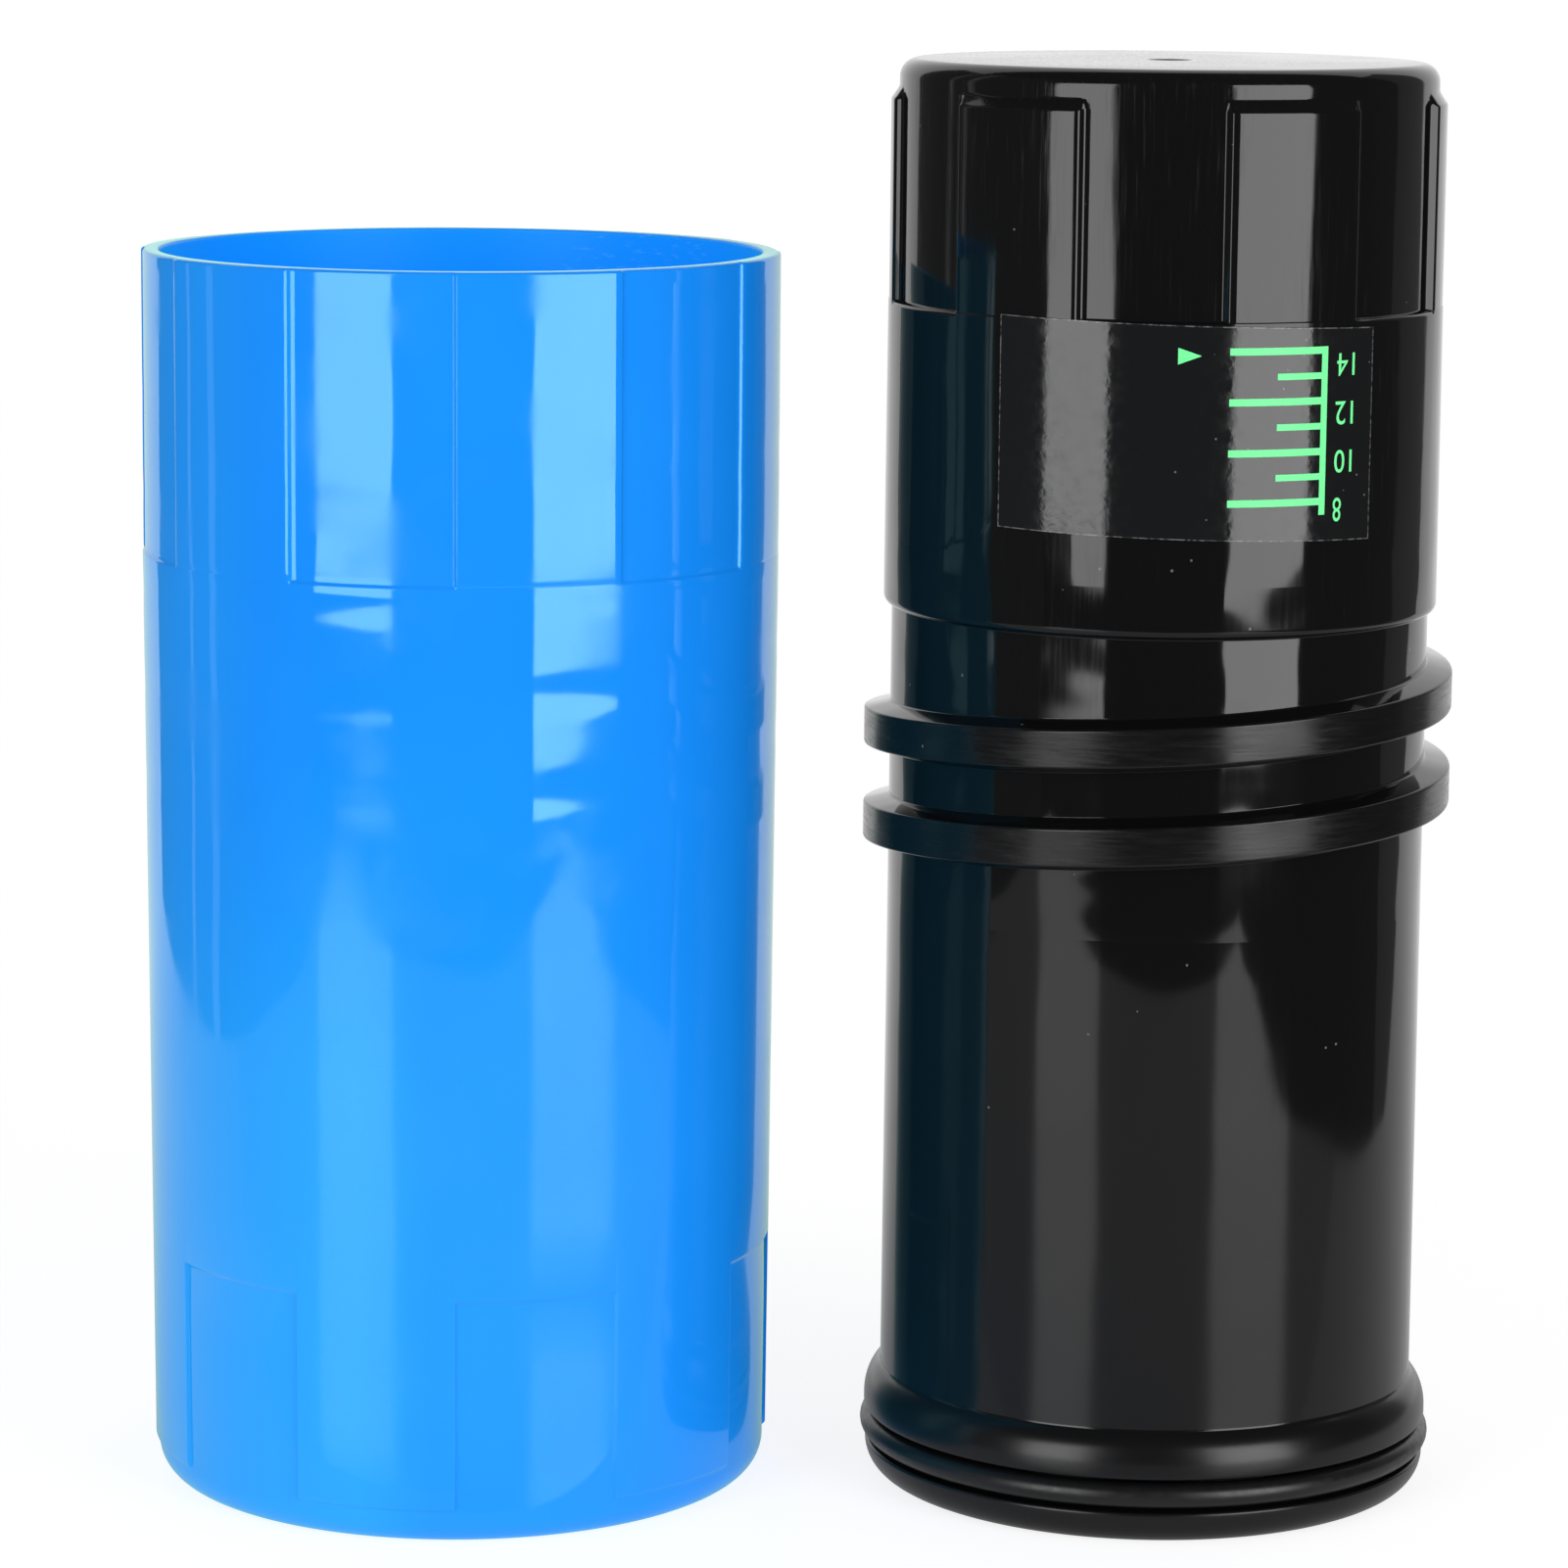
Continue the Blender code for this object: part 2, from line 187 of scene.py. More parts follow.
# %% Sweep a thread
PITCH = 13.6 * MM
THREAD_FADE = 32.0
SINK_IN = 0.6 * MM
ROOT_FILLET = 0.4 * MM
CREST_ROUND = 0.35 * MM


def ridge_section(wall, crest, crest_width, base_width, share):
    """Outline of the ridge: (radius, offset along the axis), from the lower root to the upper."""
    tip = between(wall, crest, share)
    outward = 1.0 if crest > wall else -1.0
    round_off = CREST_ROUND * max(0.05, share)
    fillet = ROOT_FILLET * min(1.0, share / 0.4)
    spread = max(0.0, fillet)
    crest_edge, foot = -crest_width / 2, -base_width / 2
    lower = [
        (wall - outward * SINK_IN, foot - spread),
        (wall + outward * min(-0.02 * MM, fillet), foot - spread),
        (wall + outward * fillet * 0.3, foot - spread * 0.3),
        (wall + outward * fillet, foot + spread * 0.12),
        (tip - outward * round_off, crest_edge - round_off * 0.1),
        (tip - outward * round_off * 0.3, crest_edge + round_off * 0.3),
        (tip, crest_edge + round_off),
    ]
    return lower + [(radius, -offset) for radius, offset in reversed(lower)]


def thread_bar(name, axis_x, front_z, start, end, wall, crest, crest_width, base_width, step):
    """A closed bar from angle start to angle end, which passes the front at the height front_z."""
    steps = round((end - start) / step)
    under_wall = -SINK_IN / abs(crest - wall) / 4
    points, faces = [], []
    for index in range(steps + 1):
        degrees = between(start, end, index / steps)
        reach = min(degrees - start, end - degrees) / THREAD_FADE
        share = between(under_wall, 1.0, eased(reach))
        height = front_z + PITCH * degrees / 360
        section = ridge_section(wall, crest, crest_width, base_width, share)
        points += [polar(axis_x, degrees, radius, height + offset) for radius, offset in section]
    corners = len(section)
    for row in range(0, steps * corners, corners):
        for corner in range(corners):
            after = (corner + 1) % corners
            faces.append((row + corner, row + corners + corner, row + corners + after, row + after))
    faces.append(tuple(range(corners)))
    faces.append(tuple(reversed(range(steps * corners, steps * corners + corners))))
    bar = mesh_object(name, points, faces)
    builder = bmesh.new()
    builder.from_mesh(bar.data)
    bmesh.ops.recalc_face_normals(builder, faces=builder.faces)
    builder.to_mesh(bar.data)
    builder.free()
    return bar


print("pitch", PITCH, "and a fade of", THREAD_FADE, "degrees at each end")

# %% [markdown]
# The bar could stay a mesh of its own inside the wall, but on the real moulding wall and ridge are
# one skin, and a Boolean union makes them one. The union cuts the wall into odd faces, and their
# averaged normals would bend a mirrored softbox. So the round walls and the crest get their exact
# normals back, straight out from the axis.

# %% Join a thread to its wall
WALL_REACH = 0.03 * MM


def joined(body, bar):
    """The body with the bar moulded on, as one plain mesh."""
    union = body.modifiers.new("thread", "BOOLEAN")
    union.operation = "UNION"
    union.solver = "EXACT"
    union.object = bar
    graph = bpy.context.evaluated_depsgraph_get()
    result = bpy.data.meshes.new_from_object(body.evaluated_get(graph))
    body.modifiers.clear()
    body.data = result
    bpy.data.objects.remove(bar)
    return shade(body)


def true_normals(body, axis_x, walls):
    """Exact normals for round walls: (low height, high height, radius low, radius high, side)."""
    normals = []
    for vert in body.data.vertices:
        across, deep = vert.co.x - axis_x, vert.co.y
        radius = math.hypot(across, deep)
        normal = Vector((0, 0, 0))
        for low, high, low_radius, high_radius, side in walls:
            draft = (low_radius - high_radius) / (high - low)
            wall = low_radius - draft * (vert.co.z - low)
            if low < vert.co.z < high and abs(radius - wall) < WALL_REACH:
                normal = side * Vector((across / radius, deep / radius, draft)).normalized()
        normals.append(normal)
    body.data.normals_split_custom_set_from_vertices(normals)


print("a vertex belongs to a wall within", WALL_REACH / MM, "mm")

# %% [markdown]
# ## The blue cup
#
# The cup is one moulding: six raised pads between the seam and the rim, six shallow recesses on
# the same angles near the foot, and a mould seam all round. The wall is thicker where the hidden
# thread runs inside, and plastic shrinks most where it is thick. That leaves a sink mark, a dent
# of a few hundredths of a millimetre that winds round the outside. It can't be felt, but a gloss
# shows it. A bump texture could fake it, but here the dent is made in the mesh itself.

# %% Cup sizes
CUP_HEIGHT = 176.3 * MM
CUP_RADIUS = 45.0 * MM
CUP_FOOT_RADIUS = 44.17 * MM
CUP_CORNER = 4.8 * MM
CUP_FLOOR = 3.5 * MM
RIM_WALL = 2.7 * MM
RIM_EDGE = 0.5 * MM
SEAM_Z = 133.9 * MM
SEAM_GROOVE = 0.05 * MM
LAND_DEPTH = 0.35 * MM
RECESS_TOP_Z = 35.0 * MM
RECESS_FOOT_Z = 5.2 * MM
RECESS_DEPTH = 0.45 * MM
CUP_PHASE = 17.2
CUP_FLANK = 0.62
RECESS_FLANK = 0.32
THREAD_BORE = 42.05 * MM
THREAD_BORE_Z = 91.5 * MM
SEAL_BORE = 40.9 * MM
LEAD_IN = 3.6 * MM
INNER_CORNER = 4.5 * MM
CUP_THREAD_Z = 104.7 * MM
CUP_THREAD_START = -230.0
CUP_THREAD_END = 1410.0
CUP_THREAD_RADIUS = 41.2 * MM
SINK_DEPTH = 0.036 * MM
SINK_WIDTH = 7.5 * MM
SINK_ROW = 0.8 * MM
PLAIN_ROW = 6 * MM
GATE_RADIUS = 3.0 * MM
GATE_DEPTH = 0.6 * MM

print("cup", round(2 * CUP_RADIUS / MM), "mm across and", CUP_HEIGHT / MM, "mm high")

# %% [markdown]
# The profile is a list of stations, each with a height, a radius on a pad and a radius on the land
# beside it. Short tables give the few steps at the foot and top of the recesses and at the seam.
# The rows stand close together only where the sink marks run.

# %% Cup profile
RECESS_FOOT_STEPS = ((0.08, 0.12), (0.2, 0.45), (0.36, 0.8), (0.6, 1.0))
RECESS_TOP_STEPS = ((-0.4, 1.0), (-0.22, 0.85), (0.0, 0.5), (0.22, 0.15), (0.4, 0.0))
SEAM_STEPS = ((-0.35, 0.0, 0.0), (-0.2, 0.3, 0.0), (0.0, 1.0, 0.35), (0.2, 0.3, 0.85), (0.4, 0.0, 1.0))


def cup_wall(height):
    return between(CUP_FOOT_RADIUS, CUP_RADIUS, min(1.0, height / SEAM_Z))


def sink_mark(degrees, height):
    """Depth of the dent that the thread inside leaves on the outside."""
    turns = round((height - CUP_THREAD_Z - PITCH * degrees / 360) / PITCH)
    along = degrees + 360 * turns
    away = abs(height - CUP_THREAD_Z - PITCH * along / 360)
    reach = min(along - CUP_THREAD_START, CUP_THREAD_END - along) / (3 * THREAD_FADE)
    if away > SINK_WIDTH / 2 or reach < 0:
        return 0.0
    return SINK_DEPTH * eased(reach) * math.cos(math.pi * away / SINK_WIDTH) ** 2


def cup_foot():
    """Stations from the middle of the base over the corner and the recesses."""
    base = CUP_FOOT_RADIUS - RECESS_DEPTH
    centre = base - CUP_CORNER
    stations = both([(GATE_RADIUS - GATE_DEPTH, GATE_DEPTH), (GATE_RADIUS, 0.0), (centre / 2, 0.0)])
    stations += both(arc(centre, CUP_CORNER, CUP_CORNER, CUP_CORNER, -90, 0, 12))
    stations += both([(base, RECESS_FOOT_Z)])
    for rise, share in RECESS_FOOT_STEPS:
        height = RECESS_FOOT_Z + rise * MM
        stations.append((height, base, between(base, cup_wall(height), share)))
    for height in (15 * MM, 25 * MM):
        stations.append((height, cup_wall(height) - RECESS_DEPTH, cup_wall(height)))
    for rise, share in RECESS_TOP_STEPS:
        height = RECESS_TOP_Z + rise * MM
        stations.append((height, cup_wall(height) - RECESS_DEPTH * share, cup_wall(height)))
    return stations


def cup_outside():
    """Stations from the middle of the base up to the rim."""
    stations = cup_foot()
    height = 45 * MM
    while height < SEAM_Z - 1 * MM:
        stations.append((height, cup_wall(height), cup_wall(height)))
        height += SINK_ROW if height > 88 * MM else PLAIN_ROW
    for rise, groove, share in SEAM_STEPS:
        cut = SEAM_GROOVE * groove
        land = CUP_RADIUS - max(cut, LAND_DEPTH * share)
        stations.append((SEAM_Z + rise * MM, CUP_RADIUS - cut, land))
    height = SEAM_Z + 1.2 * MM
    while height < CUP_HEIGHT - 2 * MM:
        stations.append((height, CUP_RADIUS, CUP_RADIUS - LAND_DEPTH))
        height += SINK_ROW
    for radius, height in arc(CUP_RADIUS - RIM_EDGE, CUP_HEIGHT - RIM_EDGE, RIM_EDGE, RIM_EDGE, 0, 90, 6):
        stations.append((height, radius, radius - LAND_DEPTH))
    return stations


def cup_inside():
    """Stations from the rim down the bore to the floor."""
    inner_edge = CUP_RADIUS - RIM_WALL + RIM_EDGE
    points = arc(inner_edge, CUP_HEIGHT - RIM_EDGE, RIM_EDGE, RIM_EDGE, 90, 180, 6)
    points += [(THREAD_BORE, THREAD_BORE_Z), (SEAL_BORE, THREAD_BORE_Z - LEAD_IN)]
    floor_edge = SEAL_BORE - INNER_CORNER
    points += arc(floor_edge, CUP_FLOOR + INNER_CORNER, INNER_CORNER, INNER_CORNER, 0, -90, 8)
    return both(points)


outside, inside = cup_outside(), cup_inside()
print("cup profile has", len(outside), "stations outside and", len(inside), "inside")

# %% [markdown]
# The rings could all be dented alike, but only the outside carries the sink marks: inside, the
# thread itself is there. It is joined to the shell last, so that its root follows the real wall.

# %% Build the cup
cup_angles = ring_angles(CUP_PHASE, CUP_FLANK)


def cup_ring(height, pad_radius, land_radius, dented):
    ring = []
    flank = RECESS_FLANK if height < SEAM_Z / 2 else CUP_FLANK
    for degrees in cup_angles:
        radius = between(land_radius, pad_radius, pad_share(degrees, CUP_PHASE, flank))
        if dented:
            radius -= sink_mark(degrees, height)
        ring.append(polar(cup_x, degrees, radius, height))
    return ring


cup_rings = [cup_ring(*station, dented=True) for station in outside]
cup_rings += [cup_ring(*station, dented=False) for station in inside]
cup_shell = loft("cup_shell", cup_rings, (cup_x, 0, GATE_DEPTH), (cup_x, 0, CUP_FLOOR))
cup_bar = thread_bar(
    "cup_thread_bar", cup_x, CUP_THREAD_Z, CUP_THREAD_START, CUP_THREAD_END,
    THREAD_BORE, CUP_THREAD_RADIUS, 4.0 * MM, 5.6 * MM, 4.0,
)
joined(cup_shell, cup_bar)
true_normals(cup_shell, cup_x, (
    (THREAD_BORE_Z, CUP_HEIGHT - RIM_EDGE, THREAD_BORE, CUP_RADIUS - RIM_WALL, -1),
    (THREAD_BORE_Z, CUP_HEIGHT - RIM_EDGE, CUP_THREAD_RADIUS, CUP_THREAD_RADIUS, -1),
))
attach(cup_shell, "cup")
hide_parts("outer_cup")
print("cup shell", len(cup_shell.data.polygons), "faces")

# %% [markdown]
# ## The black inner unit
#
# The unit is one moulding too. From the floor up it has a rounded lip, the groove for the ring, a
# shoulder that centres it in the cup, the plain tube, just over two turns of thread, a skirt for the
# label, and a grip end with six raised pads. Inside it is a plain bore for three balls. It could be
# put together from rings and tubes, but one loft leaves no gap that the gloss would show.

# %% Unit sizes
UNIT_HEIGHT = 203.6 * MM
TOP_WALL, BORE_CORNER, FOOT_EDGE = 3.0 * MM, 4.0 * MM, 0.3 * MM
TUBE_LOW, TUBE_HIGH = 38.3 * MM, 38.0 * MM
BORE_LOW, BORE_HIGH = 35.3 * MM, 35.0 * MM
LIP_FOOT, LIP_RADIUS, LIP_HEIGHT, LIP_EDGE = 36.2 * MM, 40.4 * MM, 4.9 * MM, 0.45 * MM
GROOVE_RADIUS, GROOVE_WIDTH = 36.95 * MM, 4.6 * MM
SEAL_RADIUS, CORD_RADIUS = 41.15 * MM, 1.85 * MM
SHOULDER_RADIUS, SHOULDER_EDGE = 40.6 * MM, 0.6 * MM
SHOULDER_FLAT_TOP, SHOULDER_TOP, SHOULDER_SWEEP = 10.9 * MM, 16.0 * MM, 65.0
SKIRT_FOOT_Z, SKIRT_LOW, SKIRT_HIGH = 127.0 * MM, 39.15 * MM, 39.0 * MM
SKIRT_ROOT, SKIRT_ROUND = 0.3 * MM, 1.2 * MM
LEDGE_Z, PAD_TOP_Z, CHAMFER_TOP_Z = 169.9 * MM, 198.1 * MM, 199.65 * MM
PAD_RADIUS, LAND_RADIUS = 38.9 * MM, 37.75 * MM
TOP_ROUND = 2.6 * MM
UNIT_THREAD_Z, UNIT_THREAD_RADIUS = 99.04 * MM, 41.7 * MM
UNIT_THREAD_START, UNIT_THREAD_END = -200.0, 560.0
UNIT_PHASE = 23.6
UNIT_FLANK = 1.5
print("unit", round(UNIT_HEIGHT / MM, 1), "mm high")


# %% Unit profile
def seal_end():
    """From the foot of the lip, over the groove and the shoulder, to the tube."""
    lip_top = LIP_HEIGHT - LIP_EDGE
    points = arc(LIP_FOOT, lip_top, LIP_RADIUS - LIP_FOOT, lip_top, -90, 0, 14)
    points += arc(LIP_RADIUS - LIP_EDGE, lip_top, LIP_EDGE, LIP_EDGE, 20, 90, 4)
    groove_top = LIP_HEIGHT + GROOVE_WIDTH
    points += [(GROOVE_RADIUS, LIP_HEIGHT), (GROOVE_RADIUS, groove_top)]
    edge_r, edge_z = SHOULDER_RADIUS - SHOULDER_EDGE, groove_top + SHOULDER_EDGE
    points += arc(edge_r, edge_z, SHOULDER_EDGE, SHOULDER_EDGE, -90, 0, 5)
    sweep = math.radians(SHOULDER_SWEEP)
    across = (SHOULDER_RADIUS - TUBE_LOW) / (1 - math.cos(sweep))
    rise = (SHOULDER_TOP - SHOULDER_FLAT_TOP) / math.sin(sweep)
    points += arc(SHOULDER_RADIUS - across, SHOULDER_FLAT_TOP, across, rise, 0, SHOULDER_SWEEP - 3, 14)
    for out, up in ((0.1, -0.02), (0.03, 0.12), (0.0, 0.35)):
        points.append((TUBE_LOW + out * MM, SHOULDER_TOP + up * MM))
    return points


def skirt_root():
    """From the tube into the rounded foot of the skirt."""
    points = [(TUBE_HIGH, SKIRT_FOOT_Z - 0.3 * MM), (TUBE_HIGH + 0.08 * MM, SKIRT_FOOT_Z - 0.08 * MM)]
    width = SKIRT_LOW - TUBE_HIGH - SKIRT_ROOT
    return points + arc(SKIRT_LOW - width, SKIRT_FOOT_Z + SKIRT_ROUND, width, SKIRT_ROUND, -90, 0, 8)


def grip_end():
    """Stations from the ledge over the pads and the chamfer to the gate mark on the top."""
    stations = []
    for drop, share in ((0.6, 0.0), (0.42, 0.08), (0.26, 0.3), (0.12, 0.7), (0.0, 1.0)):
        edge = SKIRT_HIGH - 0.35 * MM * share
        stations.append((LEDGE_Z - drop * MM, SKIRT_HIGH - 0.03 * MM * share, edge))
    for rise, pad, land in ((0.03, 0.02, 0.25), (0.12, 0.0, 0.08), (0.35, 0.0, 0.0)):
        stations.append((LEDGE_Z + rise * MM, PAD_RADIUS + pad * MM, LAND_RADIUS + land * MM))
    for rise, share in ((-0.3, 0.0), (-0.1, 0.03), (0.1, 0.14), (0.28, 0.3)):
        stations.append((PAD_TOP_Z + rise * MM, PAD_RADIUS - share * MM, LAND_RADIUS))
    for rise, share in ((-0.3, 0.21), (-0.05, 0.07), (0.25, 0.0)):
        stations.append((CHAMFER_TOP_Z + rise * MM, LAND_RADIUS + share * MM, LAND_RADIUS))
    stations += both(arc(LAND_RADIUS - TOP_ROUND, UNIT_HEIGHT - TOP_ROUND, TOP_ROUND, TOP_ROUND, 0, 90, 12))
    return stations + both([
        (LAND_RADIUS / 2, UNIT_HEIGHT),
        (GATE_RADIUS + 0.6 * MM, UNIT_HEIGHT),
        (GATE_RADIUS + 0.3 * MM, UNIT_HEIGHT),
        (GATE_RADIUS, UNIT_HEIGHT - 0.08 * MM),
        (GATE_RADIUS - GATE_DEPTH, UNIT_HEIGHT - GATE_DEPTH),
    ])


def unit_profile():
    """Stations from the ceiling of the bore, down the inside and up the outside."""
    corner_z = UNIT_HEIGHT - TOP_WALL - BORE_CORNER
    points = arc(BORE_HIGH - BORE_CORNER, corner_z, BORE_CORNER, BORE_CORNER, 90, 0, 8)
    points += arc(BORE_LOW + FOOT_EDGE, FOOT_EDGE, FOOT_EDGE, FOOT_EDGE, 180, 270, 4)
    return both(points + seal_end() + skirt_root()) + grip_end()


stations = unit_profile()
print("unit profile has", len(stations), "stations")

# %% [markdown]
# Here the thread stands outside, so the rings need no dents. They are lofted as they are, and the
# thread is joined last, as on the cup.

# %% Build the unit
unit_angles = ring_angles(UNIT_PHASE, UNIT_FLANK)
unit_rings = []
for height, pad_radius, land_radius in stations:
    ring = []
    for degrees in unit_angles:
        radius = between(land_radius, pad_radius, pad_share(degrees, UNIT_PHASE, UNIT_FLANK))
        ring.append(polar(unit_x, degrees, radius, height))
    unit_rings.append(ring)
ceiling_point = (unit_x, 0, UNIT_HEIGHT - TOP_WALL)
gate_point = (unit_x, 0, UNIT_HEIGHT - GATE_DEPTH)
unit_shell = loft("unit_shell", unit_rings, ceiling_point, gate_point)
unit_bar = thread_bar(
    "unit_thread_bar", unit_x, UNIT_THREAD_Z, UNIT_THREAD_START, UNIT_THREAD_END,
    TUBE_HIGH, UNIT_THREAD_RADIUS, 5.4 * MM, 7.0 * MM, 2.5,
)
joined(unit_shell, unit_bar)
true_normals(unit_shell, unit_x, (
    (SHOULDER_TOP + 0.3 * MM, SKIRT_FOOT_Z - 0.2 * MM, TUBE_LOW, TUBE_HIGH, 1),
    (SHOULDER_TOP, SKIRT_FOOT_Z, UNIT_THREAD_RADIUS, UNIT_THREAD_RADIUS, 1),
))
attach(unit_shell, "unit")
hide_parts("inner_tube")
print("unit shell", len(unit_shell.data.polygons), "faces")

# %% [markdown]
# The rubber ring is a round cord in the groove. A torus primitive would do as well. Laid out with
# the same helper as the shells, the ring stands on their axis without being moved. The CAD one has
# few faces, and this finer one takes its place at the same size.

# %% Build the seal
CORD_STEPS, CORD_SIDES = 180, 24
cord_points, cord_faces = [], []
for step in range(CORD_STEPS):
    for side in range(CORD_SIDES):
        swing = math.radians(360 * side / CORD_SIDES)
        radius = SEAL_RADIUS - CORD_RADIUS + CORD_RADIUS * math.cos(swing)
        height = LIP_HEIGHT + GROOVE_WIDTH / 2 + CORD_RADIUS * math.sin(swing)
        cord_points.append(polar(unit_x, 360 * step / CORD_STEPS, radius, height))
        here, there = step * CORD_SIDES, (step + 1) % CORD_STEPS * CORD_SIDES
        after = (side + 1) % CORD_SIDES
        cord_faces.append((here + side, there + side, there + after, here + after))
seal_cord = shade(mesh_object("seal_cord", cord_points, cord_faces))
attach(seal_cord, "seal")
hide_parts("seal_ring")
print("seal cord", len(seal_cord.data.polygons), "faces")

# %% [markdown]
# ## The printed scale
#
# The label is a thin film sticker on the skirt, cut a little out of square, with green print. The
# print could be an image on the film, but an image has a fixed sharpness and would have to be made
# somewhere else. Here it is a very thin layer of ink with real edges. A helper bends flat shapes
# round the skirt, so that each one is drawn flat first, in degrees across and millimetres up.

# %% Bend flat shapes round the skirt
INK_RADIUS = 39.46 * MM
INK_THICKNESS = 0.03 * MM


def bent(points, radius):
    """Flat points (degrees, millimetres of height) laid round the unit at that radius."""
    return [polar(unit_x, degrees, radius, height * MM) for degrees, height in points]


def bent_plate(name, outline_rows, radius=INK_RADIUS, thickness=INK_THICKNESS):
    """A thin plate from rows of flat points; each row runs from left to right."""
    columns = len(outline_rows[0])
    flat = [point for row in outline_rows for point in row]
    points = bent(flat, radius + thickness) + bent(flat, radius)
    back = len(flat)
    faces = []
    for row in range(len(outline_rows) - 1):
        for column in range(columns - 1):
            low = row * columns + column
            high = low + columns
            faces.append((low, low + 1, high + 1, high))
            faces.append((back + low, back + high, back + high + 1, back + low + 1))
    border = list(range(columns))
    border += [row * columns + columns - 1 for row in range(1, len(outline_rows))]
    border += list(range(len(flat) - 2, len(flat) - columns - 1, -1))
    border += [row * columns for row in range(len(outline_rows) - 2, 0, -1)]
    for here, there in zip(border, border[1:] + border[:1]):
        faces.append((here, back + here, back + there, there))
    return mesh_object(name, points, faces)


print("ink is", INK_THICKNESS / MM, "mm thick")

# %% [markdown]
# The film itself is the CAD's label with more columns, so that its gloss runs smoothly round the
# skirt. It falls a little towards the right, as the real one was stuck on.

# %% Cut the film
LABEL_LEFT, LABEL_RIGHT = -38.0, 42.2
LABEL_MIDDLE_Z, LABEL_HEIGHT = 155.15 * MM, 29.0 * MM
LABEL_RADIUS, LABEL_THICKNESS = 39.27 * MM, 0.18 * MM
LABEL_FALL = LABEL_RADIUS * math.tan(math.radians(1.5))
FILM_STEPS = 96
film_rows = []
for side in (-0.5, -0.48, 0.48, 0.5):
    row = []
    for step in range(FILM_STEPS + 1):
        degrees = between(LABEL_LEFT, LABEL_RIGHT, step / FILM_STEPS)
        fall = LABEL_FALL * math.radians(degrees - (LABEL_LEFT + LABEL_RIGHT) / 2)
        row.append((degrees, (LABEL_MIDDLE_Z + side * LABEL_HEIGHT - fall) / MM))
    film_rows.append(row)
film = shade(bent_plate("film_sheet", film_rows, LABEL_RADIUS, LABEL_THICKNESS))
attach(film, "unit")
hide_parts("scale_label")
print("film is", LABEL_THICKNESS / MM, "mm thick and", LABEL_HEIGHT / MM, "mm high")

# %% [markdown]
# The scale has seven marks on a spine, long and short in turn, and a small arrow. The whole print
# stands on its head in this view, because the unit is turned over to read it. Drawn as one outline
# it would bend badly, so each mark is a plate of its own with a column for every degree.

# %% Marks, spine and arrow
LONG_LEFT, LONG_THICKNESS = 9.25, 0.98
SHORT_LEFT, SHORT_THICKNESS = 19.15, 0.88
SPINE_LEFT, SPINE_MIDDLE, SPINE_RIGHT = 28.95, 29.65, 30.35
SPINE_HEIGHTS = (143.75, 155.0, 166.64)
MARK_HEIGHTS = (166.15, 162.7, 159.3, 155.85, 152.4, 149.0, 145.6)
ARROW_TIP, ARROW_BACK = 3.5, -1.0
ARROW_LEVELS = ((164.45, 165.55), (165.6, 165.6), (166.7, 165.65))


def bar_mark(name, left, right, middle_z, thickness):
    """A level mark from angle left to angle right, its middle at middle_z."""
    steps = max(2, round(right - left))
    rows = []
    for side in (-0.5, 0.5):
        degrees = [between(left, right, step / steps) for step in range(steps + 1)]
        rows.append([(turn, middle_z + side * thickness) for turn in degrees])
    return bent_plate(name, rows)


print_pieces = []
for number, middle_z in enumerate(MARK_HEIGHTS):
    left, thickness = (SHORT_LEFT, SHORT_THICKNESS) if number % 2 else (LONG_LEFT, LONG_THICKNESS)
    print_pieces.append(bar_mark(f"scale_mark_{number}", left, SPINE_LEFT, middle_z, thickness))
spine_turns = (SPINE_LEFT, SPINE_MIDDLE, SPINE_RIGHT)
spine_rows = [[(turn, height) for turn in spine_turns] for height in SPINE_HEIGHTS]
print_pieces.append(bent_plate("scale_spine", spine_rows))
arrow_rows = [[(ARROW_BACK, back), (ARROW_TIP, tip)] for back, tip in ARROW_LEVELS]
print_pieces.append(bent_plate("scale_arrow", arrow_rows))
print(len(print_pieces), "printed shapes")

# %% [markdown]
# Numbers are generic, so they are drawn with Blender's own font. Each one starts as flat text, is
# squeezed to a narrow face, turned upside down, and then every vertex is bent round the skirt. A
# shrinkwrap modifier could lay them on the skirt too, but this way they keep one even thickness.

# %% Numbers
NUMBERS = (
    ("14", 32.65, 37.1, 162.52, 165.6),
    ("12", 32.5, 36.95, 155.9, 159.05),
    ("10", 32.5, 36.9, 149.35, 152.45),
    ("8", 32.4, 34.4, 142.7, 145.95),
)


def number_plate(figures, left, right, low_z, high_z):
    curve = bpy.data.curves.new("number_" + figures, "FONT")
    curve.body = figures
    curve.resolution_u = 6
    text = bpy.data.objects.new("number_" + figures, curve)
    bpy.context.scene.collection.objects.link(text)
    graph = bpy.context.evaluated_depsgraph_get()
    mesh = bpy.data.meshes.new_from_object(text.evaluated_get(graph))
    bpy.data.objects.remove(text)
    builder = bmesh.new()
    builder.from_mesh(mesh)
    bmesh.ops.remove_doubles(builder, verts=builder.verts, dist=1e-5)
    xs = [vert.co.x for vert in builder.verts]
    ys = [vert.co.y for vert in builder.verts]
    raised = bmesh.ops.extrude_face_region(builder, geom=list(builder.faces))["geom"]
    tops = {item for item in raised if isinstance(item, bmesh.types.BMVert)}
    for vert in builder.verts:
        across = (vert.co.x - min(xs)) / (max(xs) - min(xs))
        up = (vert.co.y - min(ys)) / (max(ys) - min(ys))
        degrees = between(right, left, across)
        height = between(high_z, low_z, up)
        lift = INK_THICKNESS if vert in tops else 0.0
        vert.co = polar(unit_x, degrees, INK_RADIUS + lift, height * MM)
    bmesh.ops.recalc_face_normals(builder, faces=builder.faces)
    builder.to_mesh(mesh)
    builder.free()
    piece = bpy.data.objects.new("scale_number_" + figures, mesh)
    bpy.context.scene.collection.objects.link(piece)
    return piece


